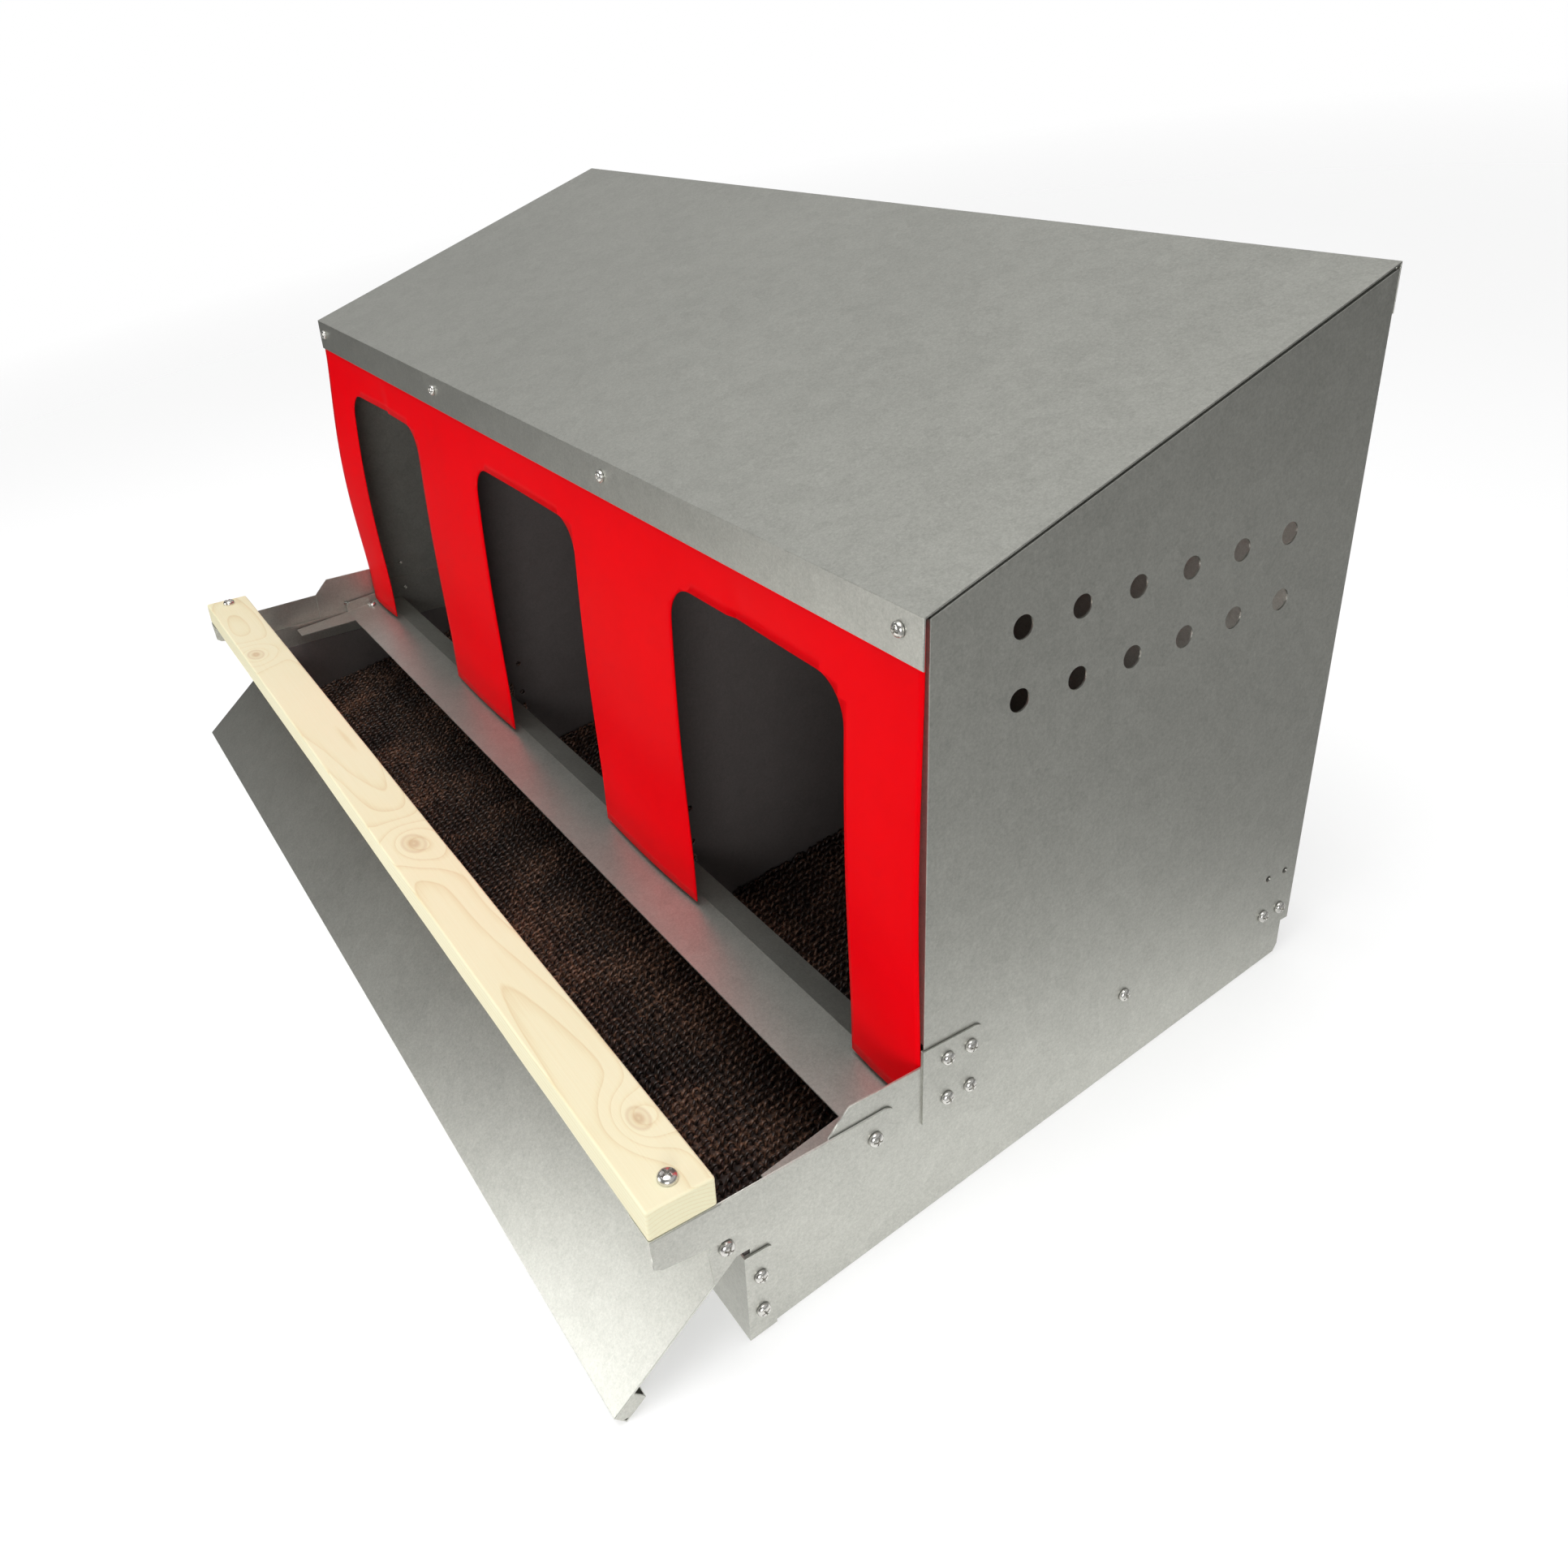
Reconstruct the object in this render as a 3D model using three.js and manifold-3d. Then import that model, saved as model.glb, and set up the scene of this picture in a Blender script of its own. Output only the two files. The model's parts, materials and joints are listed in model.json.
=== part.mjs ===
// A three-hole roll-away nesting box in galvanised sheet steel, with a timber perch that folds up,
// an egg tray with a hinged lid, and a flexible curtain with one doorway for each nest.
//
// Units are millimetres. The box is first drawn plumb, as it hangs in use: X runs to its right,
// Y to its back and Z up, with y = 0 at the front edge of the side panels and z = 0 at their
// lower edge. Its base slopes down to the front so that eggs roll out, and the whole box is then
// leaned back by that slope, so that it stands level on its base with the tray lid open.

import * as THREE from 'three';
import { mergeVertices } from 'three/addons/utils/BufferGeometryUtils.js';
import Module from 'manifold-3d';

const wasm = await Module();
wasm.setup();

// ---------------------------------------------------------------- driving dimensions

const SHEET = 1;                        // thickness of all sheet metal
const GAP = 0.3;                        // air left between pieces that touch
const SIDES = [['left', -1], ['right', 1]];

const HALF_WIDTH = 457.2;               // centre line to the outer face of a side panel
const DEPTH = 304;                      // side panel, front edge to back edge
const BASE_SLOPE = 0.15;                // rise of the base floor from front to back
const FLOOR_AT_FRONT = -70;             // underside of the base below the side panels' front edge
const BASE_FRONT = -116;                // outer face of the egg tray's front
const BASE_REAR = 299.5;                // back edge of the base sides
const TRAY_TOP = -25;                   // upper edge of the egg tray's front

const ROOF_FRONT_HEIGHT = 298;          // upper face of the roof at its front edge
const ROOF_REAR_HEIGHT = 408;
const ROOF_FRONT = -3.6;
const ROOF_REAR = 305.6;
const ROOF_LIP = 26;                    // height of the turned-down front and rear lips
const ROOF_HALF_WIDTH = 457.2;
const ROOF_SLIT = 1.8;                  // open slit between the roof and the side panels below it

const VENT_RADIUS = 6.35;
const VENT_PITCH = 38.1;
const VENTS_PER_ROW = 6;
const FIRST_VENT = { y: 55.5, z: 277 };

const LID_PIVOT = { y: -125, z: -10.6 };
const TONGUE_RADIUS = 10.5;             // rounded ends of the base sides that carry the lid
const LID_LENGTH = 105;
const LID_HALF_WIDTH = 452.5;
const LID_RISE = 16;                    // from the hinge line up to the closed lid's inner face
const LID_LIP = 10;
const LID_HEM = 16;                     // sheet folded back behind the lip

const PERCH_PIVOT = { y: -33.5, z: 9.8 };
const PERCH_BOARD = { rear: -129, width: 38, bottom: 24.6, thickness: 19 };
const ARM_BOTTOM = -2;

const SILL_FRONT = -34;                 // front edge of the step below the doorways
const SILL_HEIGHT = 0;                  // upper face there
const SILL_CREST = 6;                   // bend between the tread and the return behind it
const SILL_REAR = 26;
const SILL_TAB_TIP = -89;
const SILL_TAB_DROP = 4;                // fall of each tab from its root to its tip

const NEST_PITCH = 304.8;
const DOORWAY_WIDTH = 172;
const DOORWAY_TOP = 241;
const DOORWAY_CORNER = 24;
const MAT_THICKNESS = 8;

const SCREW_RADIUS = 2;                 // shank of every sheet metal screw
const CLEARANCE_HOLE = SCREW_RADIUS + GAP;
const LOOSE_HOLE = SCREW_RADIUS + 0.8;  // for the screws that stand square to the sloping sill

// layers of sheet at each end of the box, outer faces measured from the centre line
const PANEL_LAYER = HALF_WIDTH;                         // side panel, and bracket in front of it
const BASE_LAYER = PANEL_LAYER - SHEET - GAP;           // base side
const PAN_LAYER = BASE_LAYER - SHEET - 0.5;             // floor pan wall, and sill flange
const OUTER_LAYER = PANEL_LAYER + SHEET + GAP;          // bracket plate, and perch arm

// ---------------------------------------------------------------- materials

const galvanised = new THREE.MeshStandardMaterial({ color: 0xa3a49e, roughness: 0.38, metalness: 0.9 });
const charcoal = new THREE.MeshStandardMaterial({ color: 0x3a3636, roughness: 0.55, metalness: 0.6 });
const redPlastic = new THREE.MeshStandardMaterial({ color: 0xe8060e, roughness: 0.3, metalness: 0 });
const pine = new THREE.MeshStandardMaterial({ color: 0xeed7a6, roughness: 0.65, metalness: 0 });
const turf = new THREE.MeshStandardMaterial({ color: 0x33231d, roughness: 0.8, metalness: 0 });
const zinc = new THREE.MeshStandardMaterial({ color: 0xc9c9c4, roughness: 0.25, metalness: 1 });

// ---------------------------------------------------------------- solids

function solidFrom(geometry, matrix = new THREE.Matrix4()) {
  const copy = geometry.clone().applyMatrix4(matrix);
  copy.deleteAttribute('normal');
  copy.deleteAttribute('uv');
  const merged = mergeVertices(copy, 1e-4);
  return new wasm.Manifold(new wasm.Mesh({
    numProp: 3,
    vertProperties: new Float32Array(merged.attributes.position.array),
    triVerts: new Uint32Array(merged.index.array),
  }));
}

function geometryFrom(solid) {
  const { vertProperties, triVerts } = solid.getMesh();
  const geometry = new THREE.BufferGeometry();
  geometry.setAttribute('position', new THREE.BufferAttribute(vertProperties, 3));
  geometry.setIndex(new THREE.BufferAttribute(triVerts, 1));
  return geometry;
}

const join = (...solids) => solids.reduce((whole, next) => whole.add(next));
const cut = (solid, ...tools) => tools.reduce((rest, tool) => rest.subtract(tool), solid);

function block(x0, x1, y0, y1, z0, z1) {
  const box = new THREE.BoxGeometry(Math.abs(x1 - x0), y1 - y0, z1 - z0);
  return solidFrom(box.translate((x0 + x1) / 2, (y0 + y1) / 2, (z0 + z1) / 2));
}

function outline(points) {
  return new THREE.Shape(points.map(([a, b]) => new THREE.Vector2(a, b)));
}

function extrude(shape, depth, curveSegments = 6) {
  return new THREE.ExtrudeGeometry(shape, { depth, bevelEnabled: false, curveSegments });
}

// A profile drawn in (y, z), carried along X from one place to another.
const ALONG_X = new THREE.Matrix4().makeBasis(
  new THREE.Vector3(0, 1, 0), new THREE.Vector3(0, 0, 1), new THREE.Vector3(1, 0, 0));
function profileAlongX(shape, xA, xB) {
  const start = Math.min(xA, xB);
  const matrix = new THREE.Matrix4().makeTranslation(start, 0, 0).multiply(ALONG_X);
  return solidFrom(extrude(shape, Math.abs(xB - xA)), matrix);
}

// A profile drawn in (x, z), carried along Y from yA back to yB.
const ALONG_Y = new THREE.Matrix4().makeBasis(
  new THREE.Vector3(1, 0, 0), new THREE.Vector3(0, 0, 1), new THREE.Vector3(0, -1, 0));
function profileAlongY(shape, yA, yB) {
  const matrix = new THREE.Matrix4().makeTranslation(0, yB, 0).multiply(ALONG_Y);
  return solidFrom(extrude(shape, yB - yA), matrix);
}

// A plan drawn in (x, y), standing from z0 up to z1.
const planUp = (shape, z0, z1) =>
  solidFrom(extrude(shape, z1 - z0), new THREE.Matrix4().makeTranslation(0, 0, z0));

// A straight strip of sheet in (y, z), its upper face from one point to the other.
const strip = ([yA, zA], [yB, zB], thickness = SHEET) =>
  outline([[yA, zA - thickness], [yB, zB - thickness], [yB, zB], [yA, zA]]);

function pin(radius, length, segments = 12) {
  return new THREE.CylinderGeometry(radius, radius, length, segments);
}

// Drills for holes along each axis, centred on a point.
const drillX = (x, y, z, radius, length = 8) =>
  solidFrom(pin(radius, length).rotateZ(Math.PI / 2).translate(x, y, z));
const drillY = (x, y, z, radius, length = 8) => solidFrom(pin(radius, length).translate(x, y, z));
const drillZ = (x, y, z, radius, length = 8) =>
  solidFrom(pin(radius, length).rotateX(Math.PI / 2).translate(x, y, z));

function mesh(name, geometry, material) {
  const piece = new THREE.Mesh(geometry, material);
  piece.name = name;
  return piece;
}

// ---------------------------------------------------------------- heights that several pieces share

const floorHeight = (y) => FLOOR_AT_FRONT + BASE_SLOPE * y;
const roofPitch = (ROOF_REAR_HEIGHT - ROOF_FRONT_HEIGHT) / (ROOF_REAR - ROOF_FRONT);
const roofHeight = (y) => ROOF_FRONT_HEIGHT + roofPitch * (y - ROOF_FRONT);
const underRoof = (y) => roofHeight(y) - SHEET - GAP;
const panelTop = (y) => roofHeight(y) - SHEET - ROOF_SLIT;
const sillHeight = (y) => SILL_HEIGHT + BASE_SLOPE * (y - SILL_FRONT);

// ---------------------------------------------------------------- where the screws go

const BRACKET_SCREWS = [[15.2, 39], [31.3, 39], [15.2, 11], [31.3, 11]];
const REAR_SCREWS = [[277, 12.5], [293, 12.5]];
const EMPTY_REAR_HOLES = [[277, 41], [293, 41]];
const MIDDLE_SCREW = [152, 12];
const FLANGE_SCREWS = [[-107, -43], [-107, -68.5]];
const LIP_SCREWS = [-440, -146.5, 146.5, 440];
const LIP_SCREW_HEIGHT = 287;
const SILL_SCREW = { x: 446, y: -9 };
const PERCH_SCREW_X = 446;

// ---------------------------------------------------------------- housing

function roof() {
  const half = ROOF_HALF_WIDTH;
  const rearLip = ROOF_REAR_HEIGHT - ROOF_LIP;
  const frontLip = ROOF_FRONT_HEIGHT - ROOF_LIP;
  const sheet = outline([
    [ROOF_FRONT, frontLip], [ROOF_FRONT + SHEET, frontLip],
    [ROOF_FRONT + SHEET, roofHeight(ROOF_FRONT + SHEET) - SHEET],
    [ROOF_REAR - SHEET, roofHeight(ROOF_REAR - SHEET) - SHEET],
    [ROOF_REAR - SHEET, rearLip], [ROOF_REAR, rearLip],
    [ROOF_REAR, ROOF_REAR_HEIGHT], [ROOF_FRONT, ROOF_FRONT_HEIGHT],
  ]);
  const holes = LIP_SCREWS.map((x) => drillY(x, ROOF_FRONT, LIP_SCREW_HEIGHT, CLEARANCE_HOLE));
  return cut(profileAlongX(sheet, -half, half), ...holes);
}

function sidePanel(side) {
  const outer = side * PANEL_LAYER;
  const inner = side * (PANEL_LAYER - SHEET);
  const plate = profileAlongX(
    outline([[0, 0], [DEPTH, 0], [DEPTH, panelTop(DEPTH)], [0, panelTop(0)]]), inner, outer);
  const flangeInner = side * (PANEL_LAYER - 16);
  const frontFlange = block(flangeInner, outer, 0, SHEET, 54, panelTop(0) - 0.4);
  const lipTab = block(side * (PANEL_LAYER - 26), outer, 0, SHEET, 274, panelTop(0) - 0.4);
  const topFlange = profileAlongX(
    strip([2, panelTop(2)], [DEPTH - 2, panelTop(DEPTH - 2)]), side * (PANEL_LAYER - 12), outer);
  const holes = [MIDDLE_SCREW, ...REAR_SCREWS, ...EMPTY_REAR_HOLES, ...BRACKET_SCREWS]
    .map(([y, z]) => drillX(outer, y, z, CLEARANCE_HOLE));
  for (let row = 0; row < 2; row += 1) {
    for (let i = 0; i < VENTS_PER_ROW; i += 1) {
      const y = FIRST_VENT.y + i * VENT_PITCH;
      const z = FIRST_VENT.z - row * VENT_PITCH;
      const vent = pin(VENT_RADIUS, 8, 20).rotateZ(Math.PI / 2).translate(outer, y, z);
      holes.push(solidFrom(vent));
    }
  }
  holes.push(drillY(side * LIP_SCREWS[3], 0, LIP_SCREW_HEIGHT, CLEARANCE_HOLE));
  return cut(join(plate, frontFlange, lipTab, topFlange), ...holes);
}

function backPanel() {
  const inner = PANEL_LAYER - SHEET - GAP;
  return block(-inner, inner, DEPTH - SHEET, DEPTH, 0, underRoof(DEPTH) - 1);
}

function partition(side) {
  const x = side * NEST_PITCH / 2;
  const foot = (y) => floorHeight(y) + SHEET + GAP;
  const sheet = outline([
    [0, 16], [SILL_REAR + 1, 16], [SILL_REAR + 1, foot(SILL_REAR + 1)], [296, foot(296)],
    [296, -2], [302, -2], [302, underRoof(302) - 1], [0, underRoof(0) - 1],
  ]);
  const plate = profileAlongX(sheet, x - SHEET / 2, x + SHEET / 2);
  const lipTab = block(x + side * SHEET / 2, x - side * 14, 0, SHEET, 274, underRoof(0) - 1);
  const holes = [
    drillX(x, 35, 33, 2.5), drillX(x, 35, 4.5, 2.5), drillX(x, 35, -9, 2.5), drillX(x, 35, -12, 2.5),
    drillY(side * LIP_SCREWS[2], 0, LIP_SCREW_HEIGHT, CLEARANCE_HOLE),
  ];
  return cut(join(plate, lipTab), ...holes);
}

// ---------------------------------------------------------------- base and egg tray

function baseSide(side) {
  const outer = side * BASE_LAYER;
  const inner = side * (BASE_LAYER - SHEET);
  const front = BASE_FRONT + SHEET + GAP;
  const top = LID_PIVOT.z + TONGUE_RADIUS;
  const notch = { depth: 3, floor: TRAY_TOP - 0.2 };
  const shape = new THREE.Shape();
  shape.moveTo(BASE_REAR, 24);
  shape.lineTo(SHEET + 1, 24);
  shape.lineTo(SHEET + 1, top);
  shape.lineTo(LID_PIVOT.y, top);
  shape.absarc(LID_PIVOT.y, LID_PIVOT.z, TONGUE_RADIUS, Math.PI / 2, 3 * Math.PI / 2, false);
  shape.lineTo(front + notch.depth, LID_PIVOT.z - TONGUE_RADIUS);
  shape.lineTo(front + notch.depth, notch.floor);
  shape.lineTo(front, notch.floor);
  shape.lineTo(front, floorHeight(front));
  shape.lineTo(BASE_REAR - 3, floorHeight(BASE_REAR - 3));
  shape.lineTo(BASE_REAR, floorHeight(BASE_REAR) + 5);
  shape.closePath();
  const tab = profileAlongX(
    strip([-16, sillHeight(-16) - SHEET - GAP], [2.5, sillHeight(2.5) - SHEET - GAP]),
    side * (BASE_LAYER - 18), outer);
  const underTab = profileAlongX(
    outline([[-16, top - 1], [2.5, top - 1], [2.5, sillHeight(2.5) - 1.8], [-16, sillHeight(-16) - 1.8]]),
    inner, outer);
  const holes = [MIDDLE_SCREW, ...REAR_SCREWS, ...FLANGE_SCREWS, [LID_PIVOT.y, LID_PIVOT.z],
    BRACKET_SCREWS[2], BRACKET_SCREWS[3]].map(([y, z]) => drillX(outer, y, z, CLEARANCE_HOLE));
  holes.push(drillZ(side * SILL_SCREW.x, SILL_SCREW.y, 0, LOOSE_HOLE, 20));
  return cut(join(profileAlongX(shape, inner, outer), tab, underTab), ...holes);
}

function baseFront() {
  const bottom = floorHeight(BASE_FRONT + SHEET);
  const plate = block(-PANEL_LAYER, PANEL_LAYER, BASE_FRONT, BASE_FRONT + SHEET, bottom, TRAY_TOP);
  const parts = [plate];
  const holes = [];
  const reach = BASE_FRONT + 17;
  for (const [, side] of SIDES) {
    const outer = side * PANEL_LAYER;
    const shape = new THREE.Shape();
    shape.moveTo(BASE_FRONT, bottom);
    shape.lineTo(reach, floorHeight(reach));
    shape.lineTo(reach, TRAY_TOP - 3);
    shape.absarc(reach - 3, TRAY_TOP - 3, 3, 0, Math.PI / 2, false);
    shape.lineTo(BASE_FRONT, TRAY_TOP);
    shape.closePath();
    parts.push(profileAlongX(shape, side * (PANEL_LAYER - SHEET), outer));
    for (const [y, z] of FLANGE_SCREWS) holes.push(drillX(outer, y, z, CLEARANCE_HOLE));
  }
  return cut(join(...parts), ...holes);
}

// The pan slopes with the base and its side walls end level, a little below the tray's front.
function floorPan() {
  const front = BASE_FRONT + SHEET + GAP;
  const rear = BASE_REAR - 1;
  const half = PAN_LAYER;
  const wallTop = TRAY_TOP + 3;
  const slab = profileAlongX(
    strip([front, floorHeight(front) + SHEET], [rear, floorHeight(rear) + SHEET]), -half, half);
  const frontWall = block(-half, half, front, front + SHEET, floorHeight(front + SHEET), TRAY_TOP);
  const rearWall = block(-half, half, rear - SHEET, rear, floorHeight(rear), -4);
  const wallShape = outline([
    [front, floorHeight(front)], [rear, floorHeight(rear)], [rear, wallTop + 6],
    [250, wallTop + 6], [230, wallTop], [front, wallTop],
  ]);
  const walls = SIDES.map(([, side]) => profileAlongX(wallShape, side * (half - SHEET), side * half));
  const holes = SIDES.flatMap(([, side]) =>
    FLANGE_SCREWS.map(([y, z]) => drillX(side * half, y, z, CLEARANCE_HOLE)));
  return cut(join(slab, frontWall, rearWall, ...walls), ...holes);
}

// The sill is the step that a hen stands on: a tread with a return behind it, a tab at each end
// that the closed lid lies on, and upright flanges against the base sides.
function sill() {
  const half = PAN_LAYER;
  const returnDrop = 0.22;
  const rearHeight = sillHeight(SILL_CREST) - returnDrop * (SILL_REAR - SILL_CREST);
  const tabTip = SILL_HEIGHT - SILL_TAB_DROP;
  const section = join(
    profileAlongX(outline([
      [SILL_TAB_TIP, tabTip - SHEET], [SILL_FRONT, SILL_HEIGHT - SHEET],
      [SILL_CREST, sillHeight(SILL_CREST) - SHEET], [SILL_CREST, sillHeight(SILL_CREST)],
      [SILL_FRONT, SILL_HEIGHT], [SILL_TAB_TIP, tabTip],
    ]), -half, half),
    profileAlongX(strip([SILL_CREST - 0.5, sillHeight(SILL_CREST)], [SILL_REAR, rearHeight]), -half, half));
  const tab = { rootInner: 427, tipInner: 433, tipOuter: half - 3 };
  const plan = outline([
    [-half, SILL_REAR], [-half, SILL_FRONT], [-tab.tipOuter, SILL_TAB_TIP], [-tab.tipInner, SILL_TAB_TIP],
    [-tab.rootInner, SILL_FRONT], [tab.rootInner, SILL_FRONT], [tab.tipInner, SILL_TAB_TIP],
    [tab.tipOuter, SILL_TAB_TIP], [half, SILL_FRONT], [half, SILL_REAR],
  ]);
  const sheet = section.intersect(planUp(plan, -40, 40));
  const flange = outline([
    [SILL_FRONT, sillHeight(SILL_FRONT) - SHEET], [SILL_CREST, sillHeight(SILL_CREST) - SHEET],
    [12, sillHeight(SILL_CREST) - SHEET - 6 * returnDrop], [12, sillHeight(12) + 8],
    [-30, sillHeight(-30) + 10], [SILL_FRONT, sillHeight(SILL_FRONT) + 7],
  ]);
  const flanges = SIDES.map(([, side]) => profileAlongX(flange, side * (half - SHEET), side * half));
  const holes = SIDES.map(([, side]) =>
    drillZ(side * SILL_SCREW.x, SILL_SCREW.y, 0, LOOSE_HOLE, 20));
  return cut(join(sheet, ...flanges), ...holes);
}

// ---------------------------------------------------------------- curtain and mats

const CURTAIN_FRONT = ROOF_FRONT + SHEET + GAP;
const CURTAIN_HALF_WIDTH = 455.8;
const CURTAIN_FOOT = 8.5;
const CURTAIN_NOTCH = { depth: 3.2, side: 9.5, top: 12.7 };    // clears the sill's end flanges

function curtain() {
  const half = CURTAIN_HALF_WIDTH;
  const doorways = [-1, 0, 1].map((i) => i * NEST_PITCH);
  const shape = new THREE.Shape();
  shape.moveTo(-half + CURTAIN_NOTCH.depth, CURTAIN_FOOT);
  for (const centre of doorways) {
    const left = centre - DOORWAY_WIDTH / 2;
    const right = centre + DOORWAY_WIDTH / 2;
    const spring = DOORWAY_TOP - DOORWAY_CORNER;
    shape.lineTo(left, CURTAIN_FOOT);
    shape.lineTo(left, spring);
    shape.absarc(left + DOORWAY_CORNER, spring, DOORWAY_CORNER, Math.PI, Math.PI / 2, true);
    shape.lineTo(right - DOORWAY_CORNER, DOORWAY_TOP);
    shape.absarc(right - DOORWAY_CORNER, spring, DOORWAY_CORNER, Math.PI / 2, 0, true);
    shape.lineTo(right, CURTAIN_FOOT);
  }
  shape.lineTo(half - CURTAIN_NOTCH.depth, CURTAIN_FOOT);
  shape.lineTo(half - CURTAIN_NOTCH.depth, CURTAIN_FOOT + CURTAIN_NOTCH.side);
  shape.lineTo(half, CURTAIN_FOOT + CURTAIN_NOTCH.top);
  shape.lineTo(half, ROOF_FRONT_HEIGHT - 4);
  shape.lineTo(-half, ROOF_FRONT_HEIGHT - 4);
  shape.lineTo(-half, CURTAIN_FOOT + CURTAIN_NOTCH.top);
  shape.lineTo(-half + CURTAIN_NOTCH.depth, CURTAIN_FOOT + CURTAIN_NOTCH.side);
  shape.closePath();
  const holes = LIP_SCREWS.map((x) => drillY(x, CURTAIN_FRONT, LIP_SCREW_HEIGHT, CLEARANCE_HOLE));
  return cut(profileAlongY(shape, CURTAIN_FRONT, CURTAIN_FRONT + 1), ...holes);
}

function mat(xA, xB, yA, yB) {
  const top = (y) => floorHeight(y) + SHEET + GAP + MAT_THICKNESS;
  return profileAlongX(strip([yA, top(yA)], [yB, top(yB)], MAT_THICKNESS), xA, xB);
}

// ---------------------------------------------------------------- perch

const BRACKET_FRONT = -62;

// The bracket's plate lies on the side panel; a joggle brings the rest in line with the panel.
function perchBracket(side) {
  const plateShape = new THREE.Shape();
  plateShape.moveTo(-1.5, 0);
  plateShape.lineTo(40, 0);
  plateShape.lineTo(40, 45);
  plateShape.absarc(34, 45, 6, 0, Math.PI / 2, false);
  plateShape.lineTo(-1.5, 51);
  plateShape.closePath();
  const plate = profileAlongX(plateShape, side * (OUTER_LAYER - SHEET), side * OUTER_LAYER);
  const joggle = block(side * (PANEL_LAYER - SHEET), side * OUTER_LAYER, -1.5, -GAP, 0, 51);
  const frontShape = new THREE.Shape();
  frontShape.moveTo(-GAP, -13);
  frontShape.lineTo(-GAP, 40);
  frontShape.lineTo(-48.5, 40);
  frontShape.lineTo(BRACKET_FRONT, 26);
  frontShape.lineTo(BRACKET_FRONT, -1);
  frontShape.absarc(BRACKET_FRONT + 12, -1, 12, Math.PI, 3 * Math.PI / 2, false);
  frontShape.closePath();
  const front = profileAlongX(frontShape, side * (PANEL_LAYER - SHEET), side * PANEL_LAYER);
  const holes = BRACKET_SCREWS.map(([y, z]) => drillX(side * OUTER_LAYER, y, z, CLEARANCE_HOLE));
  holes.push(drillX(side * PANEL_LAYER, PERCH_PIVOT.y, PERCH_PIVOT.z, CLEARANCE_HOLE));
  return cut(join(plate, joggle, front), ...holes);
}

function perchArm(side) {
  const outer = side * OUTER_LAYER;
  const front = PERCH_BOARD.rear - PERCH_BOARD.width;
  const rear = PERCH_PIVOT.y + 13;
  const top = PERCH_BOARD.bottom - GAP;
  const corner = 6;
  const shape = new THREE.Shape();
  shape.moveTo(rear, ARM_BOTTOM + corner);
  shape.lineTo(rear, top + 2 - corner);
  shape.absarc(rear - corner, top + 2 - corner, corner, 0, Math.PI / 2, false);
  shape.lineTo(PERCH_BOARD.rear + 2, top);
  shape.lineTo(front, top);
  shape.lineTo(front + 1, ARM_BOTTOM + 7);
  shape.lineTo(front + 5, ARM_BOTTOM + 4);
  shape.lineTo(front + 34, ARM_BOTTOM);
  shape.lineTo(rear - corner, ARM_BOTTOM);
  shape.absarc(rear - corner, ARM_BOTTOM + corner, corner, 3 * Math.PI / 2, 2 * Math.PI, false);
  const strap = profileAlongX(shape, side * (OUTER_LAYER - SHEET), outer);
  const shelf = block(side * (OUTER_LAYER - 20), outer, front, PERCH_BOARD.rear, top - SHEET, top);
  const boardMiddle = PERCH_BOARD.rear - PERCH_BOARD.width / 2;
  return cut(join(strap, shelf),
    drillX(outer, PERCH_PIVOT.y, PERCH_PIVOT.z, CLEARANCE_HOLE),
    drillZ(side * PERCH_SCREW_X, boardMiddle, top, CLEARANCE_HOLE));
}

function perchBoard() {
  const { rear, width, bottom, thickness } = PERCH_BOARD;
  const edge = 1.2;
  const top = bottom + thickness;
  const section = outline([
    [rear - width + edge, bottom], [rear - edge, bottom], [rear, bottom + edge], [rear, top - edge],
    [rear - edge, top], [rear - width + edge, top], [rear - width, top - edge], [rear - width, bottom + edge],
  ]);
  const holes = SIDES.map(([, side]) =>
    drillZ(side * PERCH_SCREW_X, rear - width / 2, bottom + thickness / 2, CLEARANCE_HOLE, thickness + 4));
  return cut(profileAlongX(section, -OUTER_LAYER, OUTER_LAYER), ...holes);
}

// ---------------------------------------------------------------- egg lid

// Drawn about its hinge line with the sheet level, as it lies when nearly closed: the plate stands
// above the hinge on an ear at each end, reaches back along +Y, and ends in an upturned lip.
function eggLid() {
  const half = LID_HALF_WIDTH;
  const inner = LID_RISE;
  const outerFace = inner + SHEET;
  const lipTop = inner + LID_LIP;
  const plateFront = 6;
  const earReach = 22;
  const parts = [
    block(-half, half, plateFront, LID_LENGTH, inner, outerFace),
    block(-half, half, LID_LENGTH - SHEET, LID_LENGTH, inner, lipTop),
    block(-half, half, LID_LENGTH - LID_HEM, LID_LENGTH, lipTop - SHEET, lipTop),
  ];
  for (const [, side] of SIDES) {
    const ear = new THREE.Shape();
    ear.moveTo(0, -9);
    ear.absarc(0, 0, 9, -Math.PI / 2, Math.PI, true);
    ear.lineTo(-2, 13);
    ear.lineTo(plateFront, outerFace);
    ear.lineTo(earReach, outerFace);
    ear.lineTo(earReach, inner);
    ear.lineTo(8, -4);
    ear.closePath();
    parts.push(profileAlongX(ear, side * (half - SHEET), side * half));
    const endTab = outline([
      [LID_LENGTH - LID_HEM, inner], [LID_LENGTH, inner], [LID_LENGTH, lipTop - 4],
      [LID_LENGTH - 4, lipTop], [LID_LENGTH - LID_HEM, lipTop],
    ]);
    parts.push(profileAlongX(endTab, side * (half - SHEET), side * half));
  }
  const holes = SIDES.map(([, side]) => drillX(side * half, 0, 0, CLEARANCE_HOLE));
  return cut(join(...parts), ...holes);
}

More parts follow.
